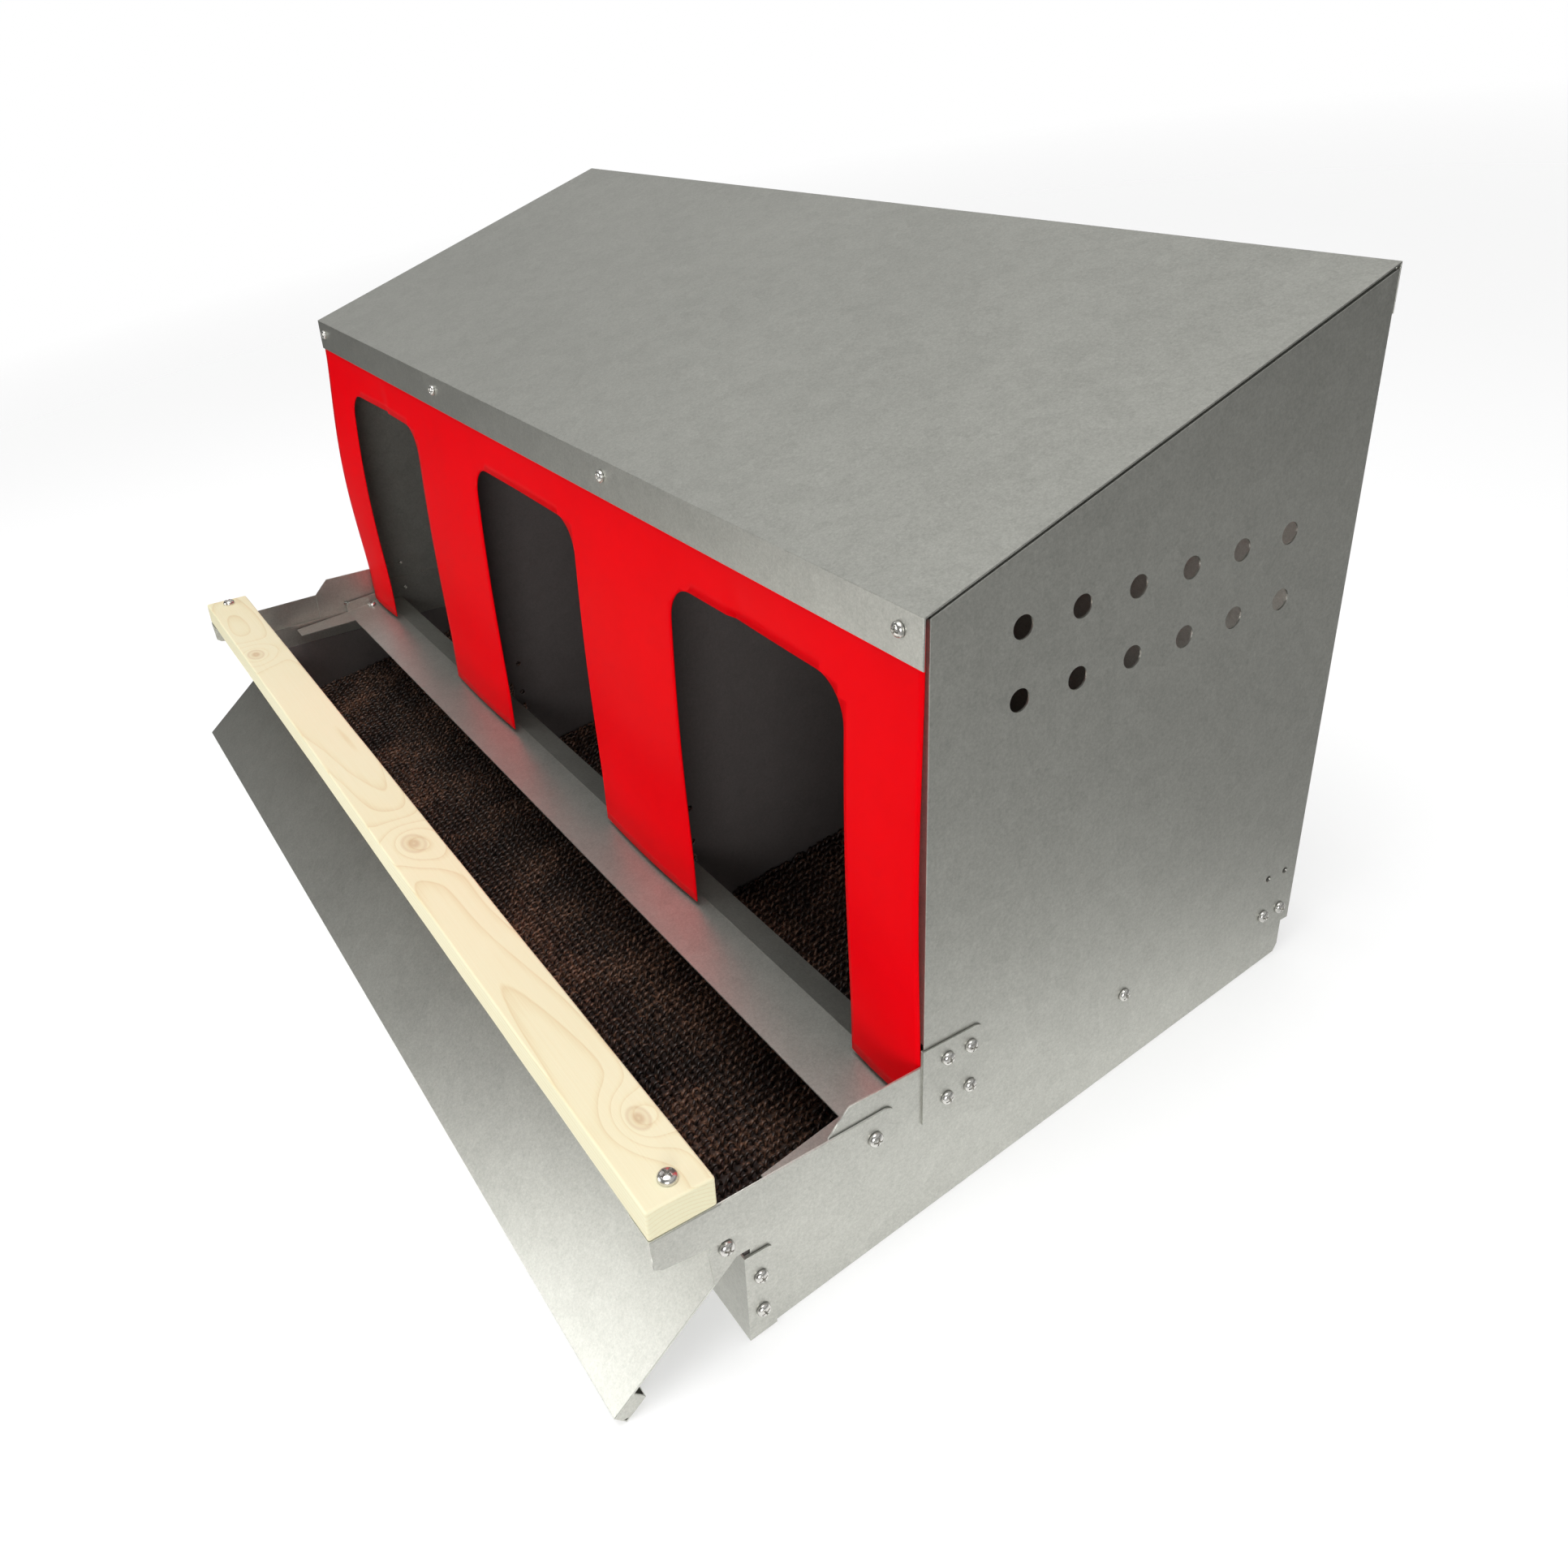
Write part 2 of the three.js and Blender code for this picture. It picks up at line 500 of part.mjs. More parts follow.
// The lid lies open with the tip of its hem just clear of the surface that the base stands on.
const lean = Math.atan(BASE_SLOPE);
const hingeHeight = (LID_PIVOT.z - floorHeight(LID_PIVOT.y)) * Math.cos(lean);
const tipRadius = Math.hypot(LID_LENGTH, LID_RISE + LID_LIP);
const tipAngle = Math.atan2(LID_RISE + LID_LIP, LID_LENGTH);
const lidOpenAngle = Math.PI + Math.asin((hingeHeight - GAP) / tipRadius) - tipAngle + lean;

// ---------------------------------------------------------------- screws

// A pan head with a cross recess on a plain shank, standing on z = 0 with its shank below.
function screwSolid(headRadius, headHeight, shankRadius, length) {
  const dome = new THREE.SplineCurve([
    new THREE.Vector2(headRadius, headHeight * 0.35), new THREE.Vector2(headRadius * 0.9, headHeight * 0.75),
    new THREE.Vector2(headRadius * 0.6, headHeight * 0.96), new THREE.Vector2(0, headHeight),
  ]);
  const profile = [
    new THREE.Vector2(0, -length), new THREE.Vector2(shankRadius * 0.55, -length),
    new THREE.Vector2(shankRadius, -length + 1.2), new THREE.Vector2(shankRadius, 0),
    new THREE.Vector2(headRadius, 0), ...dome.getPoints(3),
  ];
  profile[profile.length - 1].x = 0;
  const turned = new THREE.LatheGeometry(profile, 12).rotateX(Math.PI / 2);
  const slotLength = headRadius * 1.15;
  const slotWidth = headRadius * 0.24;
  const slotFloor = headHeight * 0.4;
  const slots = [
    block(-slotLength / 2, slotLength / 2, -slotWidth / 2, slotWidth / 2, slotFloor, headHeight + 1),
    block(-slotWidth / 2, slotWidth / 2, -slotLength / 2, slotLength / 2, slotFloor, headHeight + 1),
  ];
  return cut(solidFrom(turned), ...slots);
}

const panHead = geometryFrom(screwSolid(4.2, 2.6, SCREW_RADIUS, 4));
const lipHead = geometryFrom(screwSolid(4.2, 2.6, SCREW_RADIUS, 8.5));
const perchHinge = geometryFrom(screwSolid(4.6, 2.8, SCREW_RADIUS, 4));
const lidHinge = geometryFrom(screwSolid(4.6, 2.8, SCREW_RADIUS, 5.4));
const perchHead = geometryFrom(screwSolid(5.5, 2.6, SCREW_RADIUS, PERCH_BOARD.thickness + 5));

const UP = new THREE.Vector3(0, 0, 1);
let turn = 0;
function screw(name, geometry, position, outward) {
  const piece = mesh(name, geometry, zinc);
  piece.position.set(...position);
  piece.quaternion.setFromUnitVectors(UP, new THREE.Vector3(...outward).normalize());
  turn += 0.7;                          // no two recesses stand at the same angle
  piece.rotateZ(turn);
  return piece;
}

// ---------------------------------------------------------------- assembly

const box = new THREE.Group();
box.add(mesh('roof', geometryFrom(roof()), galvanised));
box.add(mesh('back_panel', geometryFrom(backPanel()), galvanised));
box.add(mesh('base_front', geometryFrom(baseFront()), galvanised));
box.add(mesh('floor_pan', geometryFrom(floorPan()), charcoal));
box.add(mesh('sill', geometryFrom(sill()), galvanised));
box.add(mesh('curtain', geometryFrom(curtain()), redPlastic));
for (const [word, side] of SIDES) {
  box.add(mesh(`side_panel_${word}`, geometryFrom(sidePanel(side)), galvanised));
  box.add(mesh(`base_side_${word}`, geometryFrom(baseSide(side)), galvanised));
  box.add(mesh(`partition_${word}`, geometryFrom(partition(side)), charcoal));
  box.add(mesh(`perch_bracket_${word}`, geometryFrom(perchBracket(side)), galvanised));
}

const trayMatRear = SILL_REAR - 2;
const matEnd = PAN_LAYER - SHEET - GAP;
const wall = NEST_PITCH / 2 + SHEET / 2 + GAP;
box.add(mesh('tray_mat', geometryFrom(mat(-matEnd, matEnd, BASE_FRONT + 2.7, trayMatRear)), turf));
const nestMats = [['left', -matEnd, -wall], ['centre', -wall + 1.6, wall - 1.6], ['right', wall, matEnd]];
for (const [word, xA, xB] of nestMats) {
  box.add(mesh(`nest_mat_${word}`, geometryFrom(mat(xA, xB, SILL_REAR + 1, BASE_REAR - 3)), turf));
}

const perch = new THREE.Group();
perch.add(mesh('perch_board', geometryFrom(perchBoard()), pine));
for (const [word, side] of SIDES) {
  perch.add(mesh(`perch_arm_${word}`, geometryFrom(perchArm(side)), galvanised));
  perch.add(screw(`perch_screw_${word}`, perchHead,
    [side * PERCH_SCREW_X, PERCH_BOARD.rear - PERCH_BOARD.width / 2,
      PERCH_BOARD.bottom + PERCH_BOARD.thickness + GAP], [0, 0, 1]));
}
box.add(perch);

const lid = mesh('egg_lid', geometryFrom(eggLid()), galvanised);
lid.position.set(0, LID_PIVOT.y, LID_PIVOT.z);
lid.rotation.x = lidOpenAngle;
box.add(lid);

LIP_SCREWS.forEach((x, i) => {
  box.add(screw(`lip_screw_${i + 1}`, lipHead, [x, ROOF_FRONT - GAP, LIP_SCREW_HEIGHT], [0, -1, 0]));
});
for (const [word, side] of SIDES) {
  const outward = [side, 0, 0];
  const onPanel = side * (PANEL_LAYER + GAP);
  const onBracket = side * (OUTER_LAYER + GAP);
  BRACKET_SCREWS.forEach(([y, z], i) => {
    box.add(screw(`bracket_screw_${word}_${i + 1}`, panHead, [onBracket, y, z], outward));
  });
  REAR_SCREWS.forEach(([y, z], i) => {
    box.add(screw(`rear_screw_${word}_${i + 1}`, panHead, [onPanel, y, z], outward));
  });
  FLANGE_SCREWS.forEach(([y, z], i) => {
    box.add(screw(`flange_screw_${word}_${i + 1}`, panHead, [onPanel, y, z], outward));
  });
  box.add(screw(`side_screw_${word}`, panHead, [onPanel, ...MIDDLE_SCREW], outward));
  box.add(screw(`perch_pivot_${word}`, perchHinge, [onBracket, PERCH_PIVOT.y, PERCH_PIVOT.z], outward));
  box.add(screw(`lid_pivot_${word}`, lidHinge,
    [side * (BASE_LAYER + GAP), LID_PIVOT.y, LID_PIVOT.z], outward));
  box.add(screw(`sill_screw_${word}`, panHead,
    [side * SILL_SCREW.x, SILL_SCREW.y, sillHeight(SILL_SCREW.y) + GAP], [0, -BASE_SLOPE, 1]));
}

// Lean the box back by its base slope and set it down on z = 0, centred on the origin.
box.rotation.x = -lean;
const bounds = new THREE.Box3().setFromObject(box, true);
const centre = bounds.getCenter(new THREE.Vector3());
box.position.set(-centre.x, -centre.y, -bounds.min.z);

const nestingBox = new THREE.Group();
nestingBox.add(box);

export default nestingBox;
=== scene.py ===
# %% [markdown]
# # A roll-away nesting box
# The box is folded from galvanised sheet: a housing with a sloping roof, a base whose floor slopes
# down to an egg tray, a hinged lid in front of the tray, a timber perch on two steel arms, and a
# red plastic curtain with three doorways. The engineering model is loaded first. It fixes every
# size and every joint, and each piece made below is fitted to it and rides on one of its bodies.

# %% Load the frame
import json
import math
import random

import bmesh
import bpy
import numpy as np
from mathutils import Matrix, Vector, noise


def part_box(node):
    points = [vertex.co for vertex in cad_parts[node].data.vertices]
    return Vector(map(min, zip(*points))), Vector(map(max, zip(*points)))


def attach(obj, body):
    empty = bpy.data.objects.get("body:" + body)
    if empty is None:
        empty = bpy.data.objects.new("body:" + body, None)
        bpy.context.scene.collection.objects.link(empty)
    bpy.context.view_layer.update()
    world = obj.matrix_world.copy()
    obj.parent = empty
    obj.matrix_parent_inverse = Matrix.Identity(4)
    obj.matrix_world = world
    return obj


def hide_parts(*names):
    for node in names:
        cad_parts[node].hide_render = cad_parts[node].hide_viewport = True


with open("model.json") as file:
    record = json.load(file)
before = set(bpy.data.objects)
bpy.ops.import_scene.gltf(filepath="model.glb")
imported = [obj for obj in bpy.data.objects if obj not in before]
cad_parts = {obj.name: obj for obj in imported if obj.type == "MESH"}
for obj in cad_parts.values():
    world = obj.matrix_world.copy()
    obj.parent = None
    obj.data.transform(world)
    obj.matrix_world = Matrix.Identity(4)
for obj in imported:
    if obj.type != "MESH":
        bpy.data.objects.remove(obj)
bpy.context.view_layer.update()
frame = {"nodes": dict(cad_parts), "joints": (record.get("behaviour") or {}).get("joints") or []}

# %% [markdown]
# The box leans back by the slope of its own floor, because it stands on that floor. It is easier
# to think of it plumb: x to its right, y to its back from the front edge of the side panels, and
# z up from their lower edge. `PLUMB` turns such a place, in metres, into a place in the frame. The
# lid's hinge is known in both, so it says where the plumb origin lies.

# %% A plumb frame for the box
LEAN = math.atan(0.15)
LID_HINGE = Vector((0, -0.125, -0.0106))
lid_joint = next(j for j in frame["joints"] if j["name"] == "lid_swing")
turn = Matrix.Rotation(-LEAN, 4, "X")
PLUMB = Matrix.Translation(Vector(lid_joint["pos_m"]) - turn @ LID_HINGE) @ turn
UNPLUMB = PLUMB.inverted()


def plumb_box(node):
    """Lowest and highest corner of a CAD node in the plumb frame."""
    places = [UNPLUMB @ v.co for v in frame["nodes"][node].data.vertices]
    return [Vector([f(p[i] for p in places) for i in range(3)]) for f in (min, max)]


print("plumb origin in the frame:", [round(x, 4) for x in PLUMB.translation])

# %% [markdown]
# The camera and the lights come next, so that every finish below can be judged as it is made. The
# camera is placed in the plumb frame by its azimuth, elevation and roll.

# %% Camera
scene = bpy.context.scene
scene.view_settings.view_transform = "Standard"

AZIMUTH, ELEVATION, ROLL = (math.radians(a) for a in (58.24, 27.45, -3.05))
forward = Vector((-math.sin(AZIMUTH) * math.cos(ELEVATION), math.cos(AZIMUTH) * math.cos(ELEVATION),
                  -math.sin(ELEVATION)))
level = Vector((math.cos(AZIMUTH), math.sin(AZIMUTH), 0))
upright = level.cross(forward)
right = math.cos(ROLL) * level + math.sin(ROLL) * upright
upward = right.cross(forward)
facing = Matrix((right, upward, -forward)).transposed().to_4x4()

camera = bpy.data.objects.new("camera", bpy.data.cameras.new("camera"))
scene.collection.objects.link(camera)
scene.camera = camera
camera.data.sensor_width = 36
camera.data.lens = 29.49876
camera.data.shift_x, camera.data.shift_y = 0.014648, -0.053571
camera.data.clip_start, camera.data.clip_end = 0.05, 50
STAND = (0.8494, -0.3312, 0.5255)  # the camera's place in the plumb frame
camera.matrix_world = PLUMB @ Matrix.Translation(STAND) @ facing
print("camera at", [round(x, 3) for x in camera.matrix_world.translation])

# %% [markdown]
# Sheet metal shows what it reflects. A pale floor fades into a white surround, three broad soft
# lights give the bright panels their gradients, and a small one catches the bends. Seen in the
# steel, the surround is darker than it looks to the camera, and in front of the box it is nearly
# black. The floor seen in the steel falls off with distance, so that the panels shade from bright
# to grey.

# %% Helpers for node trees
def node(tree, kind, **settings):
    made = tree.nodes.new(kind)
    for key, value in settings.items():
        if hasattr(made, key):
            setattr(made, key, value)
        else:
            made.inputs[key.replace("_", " ")].default_value = value
    return made


def wire(tree, *pairs):
    for out, into in pairs:
        tree.links.new(out, into)


def maths(tree, kind, a, b=None, c=None):
    """The output of a maths node whose inputs are numbers or sockets."""
    made = node(tree, "ShaderNodeMath", operation=kind)
    for i, value in enumerate((a, b, c)):
        if value is None:
            continue
        if isinstance(value, (int, float)):
            made.inputs[i].default_value = value
        else:
            tree.links.new(value, made.inputs[i])
    return made.outputs[0]


def ramp(tree, fac, stops):
    """A colour ramp fed by fac, with (place, grey or colour) stops."""
    made = tree.nodes.new("ShaderNodeValToRGB")
    band = made.color_ramp
    while len(band.elements) < len(stops):
        band.elements.new(0.5)
    for element, (place, colour) in zip(band.elements, stops):
        element.position = place
        element.color = (*colour, 1) if isinstance(colour, tuple) else (colour, colour, colour, 1)
    tree.links.new(fac, made.inputs["Fac"])
    return made


# %% Surround
world = bpy.data.worlds.new("surround")
scene.world = world
world.use_nodes = True
tree = world.node_tree
tree.nodes.clear()
direction = node(tree, "ShaderNodeTexCoord")
split = node(tree, "ShaderNodeSeparateXYZ")
height = ramp(tree, split.outputs["Z"],
              [(0.0, 0.12), (0.19, 0.20), (0.40, 0.56), (0.66, 0.44), (1.0, 0.56)])
behind = node(tree, "ShaderNodeMapRange")
behind.inputs["From Min"].default_value, behind.inputs["From Max"].default_value = -0.30, 0.10
behind.inputs["To Min"].default_value = 0.05
lit = node(tree, "ShaderNodeBackground")
seen = node(tree, "ShaderNodeBackground", Color=(1, 1, 1, 1))
ray = node(tree, "ShaderNodeLightPath")
choose = node(tree, "ShaderNodeMixShader")
out = node(tree, "ShaderNodeOutputWorld")
wire(tree, (direction.outputs["Generated"], split.inputs[0]), (height.outputs["Color"], lit.inputs["Color"]),
     (split.outputs["Y"], behind.inputs["Value"]), (behind.outputs["Result"], lit.inputs["Strength"]),
     (ray.outputs["Is Camera Ray"], choose.inputs[0]), (lit.outputs[0], choose.inputs[1]),
     (seen.outputs[0], choose.inputs[2]), (choose.outputs[0], out.inputs["Surface"]))

# %% Soft lights
def softbox(name, place, aim, width, depth, power):
    lamp = bpy.data.objects.new(name, bpy.data.lights.new(name, "AREA"))
    scene.collection.objects.link(lamp)
    lamp.data.shape = "RECTANGLE"
    lamp.data.size, lamp.data.size_y, lamp.data.energy = width, depth, power
    lamp.location = place
    lamp.rotation_euler = (Vector(aim) - Vector(place)).to_track_quat("-Z", "Y").to_euler()


softbox("overhead", (0.3, -0.2, 2.6), (0, 0, 0.1), 2.0, 1.8, 40)
softbox("front", (-0.70, -2.15, 0.85), (0.3, -0.1, 0.0), 1.1, 0.9, 18.5)
softbox("right", (2.2, -1.3, 0.8), (0.3, 0.0, 0.1), 1.0, 1.0, 24)
softbox("rim", (-1.9, -0.55, 1.7), (0, 0, 0.2), 0.5, 0.5, 1.5)

# %% Floor
FLOOR_RADIUS, FLOOR_DROP, FLOOR_CORNERS = 3.2, 0.0006, 96
floor_mesh = bpy.data.meshes.new("studio_floor")
edge = [(FLOOR_RADIUS * math.cos(a), FLOOR_RADIUS * math.sin(a), -FLOOR_DROP)
        for a in np.linspace(0, 2 * math.pi, FLOOR_CORNERS + 1)[:-1]]
floor_mesh.from_pydata(edge, [], [list(range(FLOOR_CORNERS))])
studio_floor = bpy.data.objects.new("studio_floor", floor_mesh)
scene.collection.objects.link(studio_floor)
print("floor radius:", FLOOR_RADIUS)

# %% Pale floor material
pale = bpy.data.materials.new("pale_floor")
pale.use_nodes = True
tree = pale.node_tree
tree.nodes.clear()
place = node(tree, "ShaderNodeTexCoord").outputs["Object"]
ray = node(tree, "ShaderNodeLightPath")
axes = node(tree, "ShaderNodeSeparateXYZ")
far = node(tree, "ShaderNodeVectorMath", operation="LENGTH")
wire(tree, (place, axes.inputs[0]), (place, far.inputs[0]))

# Distance from the box, which counts for more to the sides and behind, and less in front.
askew = maths(tree, "ADD", maths(tree, "ABSOLUTE", axes.outputs["X"]), axes.outputs["Y"])
reach = maths(tree, "MULTIPLY", maths(tree, "MULTIPLY_ADD", askew, 0.35, far.outputs["Value"]), 0.5)
mirrored = ramp(tree, reach, [(0.32, 1.0), (0.46, 0.50), (0.57, 0.32), (0.66, 0.44), (0.78, 0.50), (1.0, 0.42)])
glint = ramp(tree, reach, [(0.20, 0.80), (0.34, 0.55), (0.44, 0.0)])

# The steel sees the floor glow close to the box. The camera sees a faint even glow.
CAMERA_GLOW, MOST_GLOW = 0.27, 0.75
faint = maths(tree, "MULTIPLY", ray.outputs["Is Camera Ray"], CAMERA_GLOW)
shine = maths(tree, "MULTIPLY_ADD", glint.outputs["Color"], ray.outputs["Is Glossy Ray"], faint)
tone = node(tree, "ShaderNodeMix", data_type="RGBA")
tone.inputs["A"].default_value = (0.96, 0.96, 0.96, 1)
paint = node(tree, "ShaderNodeBsdfPrincipled", Roughness=0.9)
paint.inputs["Emission Color"].default_value = (1, 1, 1, 1)
wire(tree, (ray.outputs["Is Glossy Ray"], tone.inputs["Factor"]), (mirrored.outputs["Color"], tone.inputs["B"]),
     (tone.outputs["Result"], paint.inputs["Base Color"]),
     (maths(tree, "MINIMUM", shine, MOST_GLOW), paint.inputs["Emission Strength"]))

fade = ramp(tree, maths(tree, "MULTIPLY", far.outputs["Value"], 1 / FLOOR_RADIUS), [(0.0, 1.0), (0.9, 0.0)])
clear = node(tree, "ShaderNodeBsdfTransparent")
mix = node(tree, "ShaderNodeMixShader")
out = node(tree, "ShaderNodeOutputMaterial")
wire(tree, (fade.outputs["Color"], mix.inputs[0]), (clear.outputs[0], mix.inputs[1]),
     (paint.outputs[0], mix.inputs[2]), (mix.outputs[0], out.inputs["Surface"]))
floor_mesh.materials.append(pale)
print("pale floor has", len(tree.nodes), "nodes")

# %% [markdown]
# Galvanised steel is zinc frozen on steel. Seen close it has a fine grain, with faint crystals a
# centimetre across, a cloudy drift of tone over a hand's width, and rubbed hairlines. Several
# materials need this, so it is one node group that puts out a tone, a roughness and a height. A
# texture made from an image would show its tiling on panels this plain, so this one is noise.

# %% Zinc surface group
def new_group(name, inputs, outputs):
    group = bpy.data.node_groups.new(name, "ShaderNodeTree")
    for label, kind, value in inputs:
        socket = group.interface.new_socket(label, in_out="INPUT", socket_type=kind)
        if value is not None:
            socket.default_value = value
    for label, kind in outputs:
        group.interface.new_socket(label, in_out="OUTPUT", socket_type=kind)
    return group, node(group, "NodeGroupInput"), node(group, "NodeGroupOutput")


def noise_at(tree, vector, scale, detail=3.0, rough=0.5, distortion=0.0):
    made = node(tree, "ShaderNodeTexNoise", Scale=scale, Detail=detail, Roughness=rough, Distortion=distortion)
    tree.links.new(vector, made.inputs["Vector"])
    return made.outputs["Fac"]


def sum_of(tree, *terms):
    """Adds (socket, weight) terms, each taken about its middle value of 0.5."""
    total = None
    for socket, weight in terms:
        centred = node(tree, "ShaderNodeMath", operation="SUBTRACT")
        centred.inputs[1].default_value = 0.5
        tree.links.new(socket, centred.inputs[0])
        scaled = node(tree, "ShaderNodeMath", operation="MULTIPLY_ADD")
        scaled.inputs[1].default_value = weight
        scaled.inputs[2].default_value = 0.5 if total is None else 0
        tree.links.new(centred.outputs[0], scaled.inputs[0])
        if total is not None:
            tree.links.new(total, scaled.inputs[2])
        total = scaled.outputs[0]
    return total


zinc, given, result = new_group("zinc_surface", [("Vector", "NodeSocketVector", None)],
                                [("Tone", "NodeSocketFloat"), ("Roughness", "NodeSocketFloat"),
                                 ("Height", "NodeSocketFloat")])
where = given.outputs["Vector"]
crystals = node(zinc, "ShaderNodeTexVoronoi", Scale=95.0, Randomness=1.0)
zinc.links.new(where, crystals.inputs["Vector"])
flake = node(zinc, "ShaderNodeSeparateColor")
zinc.links.new(crystals.outputs["Color"], flake.inputs[0])
grain = noise_at(zinc, where, 900.0, 2.0, 0.7)
sand = noise_at(zinc, where, 380.0, 3.0, 0.75)
cloud = noise_at(zinc, where, 7.0, 3.0, 0.55)
mottle = noise_at(zinc, where, 60.0, 4.0, 0.6)
along = node(zinc, "ShaderNodeMapping")
along.inputs["Scale"].default_value = (9.0, 420.0, 420.0)
zinc.links.new(where, along.inputs["Vector"])
hairline = noise_at(zinc, along.outputs[0], 1.0, 2.0, 0.6)
zinc_tone = sum_of(zinc, (grain, 0.42), (sand, 0.40), (cloud, 0.13), (mottle, 0.10), (flake.outputs[0], 0.06))
zinc_rough = sum_of(zinc, (mottle, 0.14), (cloud, 0.20), (hairline, 0.12), (grain, 0.25), (sand, 0.25))
zinc_height = sum_of(zinc, (grain, 0.45), (sand, 0.40), (mottle, 0.30), (hairline, 0.10))
wire(zinc, (zinc_tone, result.inputs["Tone"]), (zinc_rough, result.inputs["Roughness"]),
     (zinc_height, result.inputs["Height"]))
print("zinc group has", len(zinc.nodes), "nodes")

# %% Steel finishes
def scaled(tree, socket, low, high):
    made = node(tree, "ShaderNodeMapRange")
    made.inputs["To Min"].default_value, made.inputs["To Max"].default_value = low, high
    tree.links.new(socket, made.inputs["Value"])
    return made.outputs["Result"]


def steel(name, dark, light, rough, metallic=0.84, bump=0.06):
    """Sheet steel between two tones, with roughness between two values."""
    made = bpy.data.materials.new(name)
    made.use_nodes = True
    tree = made.node_tree
    skin = tree.nodes["Principled BSDF"]
    skin.inputs["Metallic"].default_value = metallic
    coords = node(tree, "ShaderNodeTexCoord")
    surface = node(tree, "ShaderNodeGroup")
    surface.node_tree = zinc
    tree.links.new(coords.outputs["Object"], surface.inputs["Vector"])
    tone = ramp(tree, surface.outputs["Tone"], [(0.25, dark), (0.75, light)])
    relief = node(tree, "ShaderNodeBump", Strength=bump, Distance=0.0004)
    wire(tree, (tone.outputs["Color"], skin.inputs["Base Color"]),
         (scaled(tree, surface.outputs["Roughness"], *rough), skin.inputs["Roughness"]),
         (surface.outputs["Height"], relief.inputs["Height"]),
         (relief.outputs["Normal"], skin.inputs["Normal"]))
    return made


galvanised = steel("galvanised_sheet", (0.36, 0.362, 0.328), (0.62, 0.622, 0.570), (0.30, 0.50), bump=0.10)
# The same galvanised steel made darker: painted shade for the floor pan and partitions, which lie in the shade
# inside the box.
painted_shade_sheet = steel("painted_shade_sheet", (0.15, 0.132, 0.128), (0.23, 0.205, 0.198), (0.42, 0.60), metallic=0.55)
print("steel:", galvanised.name, painted_shade_sheet.name)

# %% [markdown]
# Every sheet part is bent from one blank. Its bends are round, about 1.6 mm outside and 0.6 mm
# inside, and its cut edges are broken by the shears. The engineering model draws both sharp. Each
# sheet part is therefore copied, its loose triangles are merged back into plates, and then two
# kinds of edge are told apart: a bend joins two wide faces, and a cut edge joins a wide face to
# the narrow edge of the sheet. Rounding them separately keeps the real look of folded work. Big
# faces are shaded flat, so that the shading of a round bend does not spread over the plate.

# %% Round the bends of a sheet part
def shade(mesh, degrees=38):
    for face in mesh.polygons:
        face.use_smooth = True
    mesh.set_sharp_from_angle(angle=math.radians(degrees))


def add_object(name, mesh, body, replaced, material):
    mesh.materials.clear()
    mesh.materials.append(material)
    made = bpy.data.objects.new(name, mesh)
    scene.collection.objects.link(made)
    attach(made, body)
    if replaced:
        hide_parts(*replaced)
    return made


SHORTEST_BEND, LEAST_TURN, NARROWEST_PLATE = 0.006, math.radians(12), 0.003
CUT_CORNER = math.radians(50)
FLAT_FROM = 0.0002  # square metres: a face this big is never part of a rounded bend
SHEAR_BREAK = 0.00017
WELD = 4e-6


def is_bend(edge):
    """Whether two wide faces meet here, rather than a wide face and the sheet's cut edge."""
    if len(edge.link_faces) != 2 or edge.calc_length() < SHORTEST_BEND or edge.calc_face_angle() < LEAST_TURN:
        return False
    return all(face.calc_area() / edge.calc_length() > NARROWEST_PLATE for face in edge.link_faces)


def bevel(work, edges, offset, segments):
    if edges:
        bmesh.ops.bevel(work, geom=edges, offset=offset, offset_type="OFFSET", segments=segments,
                        profile=0.5, affect="EDGES", clamp_overlap=True, loop_slide=True)


def rounded_sheet(node_name, body, material, outside=0.0016, inside=0.0006, cut=SHEAR_BREAK):
    """A copy of a CAD sheet part with round bends and broken edges."""
    work = bmesh.new()
    work.from_mesh(frame["nodes"][node_name].data)
    bmesh.ops.remove_doubles(work, verts=work.verts, dist=WELD)
    bmesh.ops.dissolve_limit(work, angle_limit=math.radians(0.3), verts=work.verts, edges=work.edges)
    for convex, radius, steps in ((True, outside, 4), (False, inside, 2)):
        bends = [e for e in work.edges if is_bend(e) and e.is_convex == convex]
        bevel(work, bends, radius, steps)
    rims = [e for e in work.edges if len(e.link_faces) == 2 and e.calc_face_angle() > CUT_CORNER]
    bevel(work, rims, cut, 1)
    mesh = bpy.data.meshes.new(node_name + "_sheet")
    work.to_mesh(mesh)
    work.free()
    shade(mesh)
    for face in mesh.polygons:
        face.use_smooth = face.area < FLAT_FROM
    made = add_object(node_name + "_sheet", mesh, body, [node_name], material)
    made.modifiers.new("flat faces stay flat", "WEIGHTED_NORMAL").keep_sharp = True
    return made


# %% Make the sheet parts
SHEETS = {"roof": "box", "back_panel": "box", "base_front": "box", "sill": "box", "egg_lid": "lid"}
for side in ("left", "right"):
    SHEETS.update({f"side_panel_{side}": "box", f"base_side_{side}": "box",
                   f"perch_bracket_{side}": "box", f"perch_arm_{side}": "perch"})
WORN_EDGE = {"sill": 0.0004}  # the sill's edges are rubbed rounder than the shears leave them
sheets = {name: rounded_sheet(name, body, galvanised, cut=WORN_EDGE.get(name, SHEAR_BREAK))
          for name, body in SHEETS.items()}
# The floor pan and partitions are finished with the steel darkened by painted shade.
for name in ("floor_pan", "partition_left", "partition_right"):
    sheets[name] = rounded_sheet(name, "box", painted_shade_sheet)
print("sheet parts:", {name: len(o.data.polygons) for name, o in sheets.items()})

# %% [markdown]
# The curtain is one sheet of flexible red plastic, 0.8 mm thick, clamped under the roof's lip. It
# hangs free below, so it bellies forward between its ends, its legs curl a little, and its side
# edges bow. Its outline is cut flat first. Slicing that outline into small cells gives it enough
# points to bend, and then each point is pushed forward by a smooth rule. A cloth simulation would
# fold it like fabric, and this plastic is far too stiff for that.

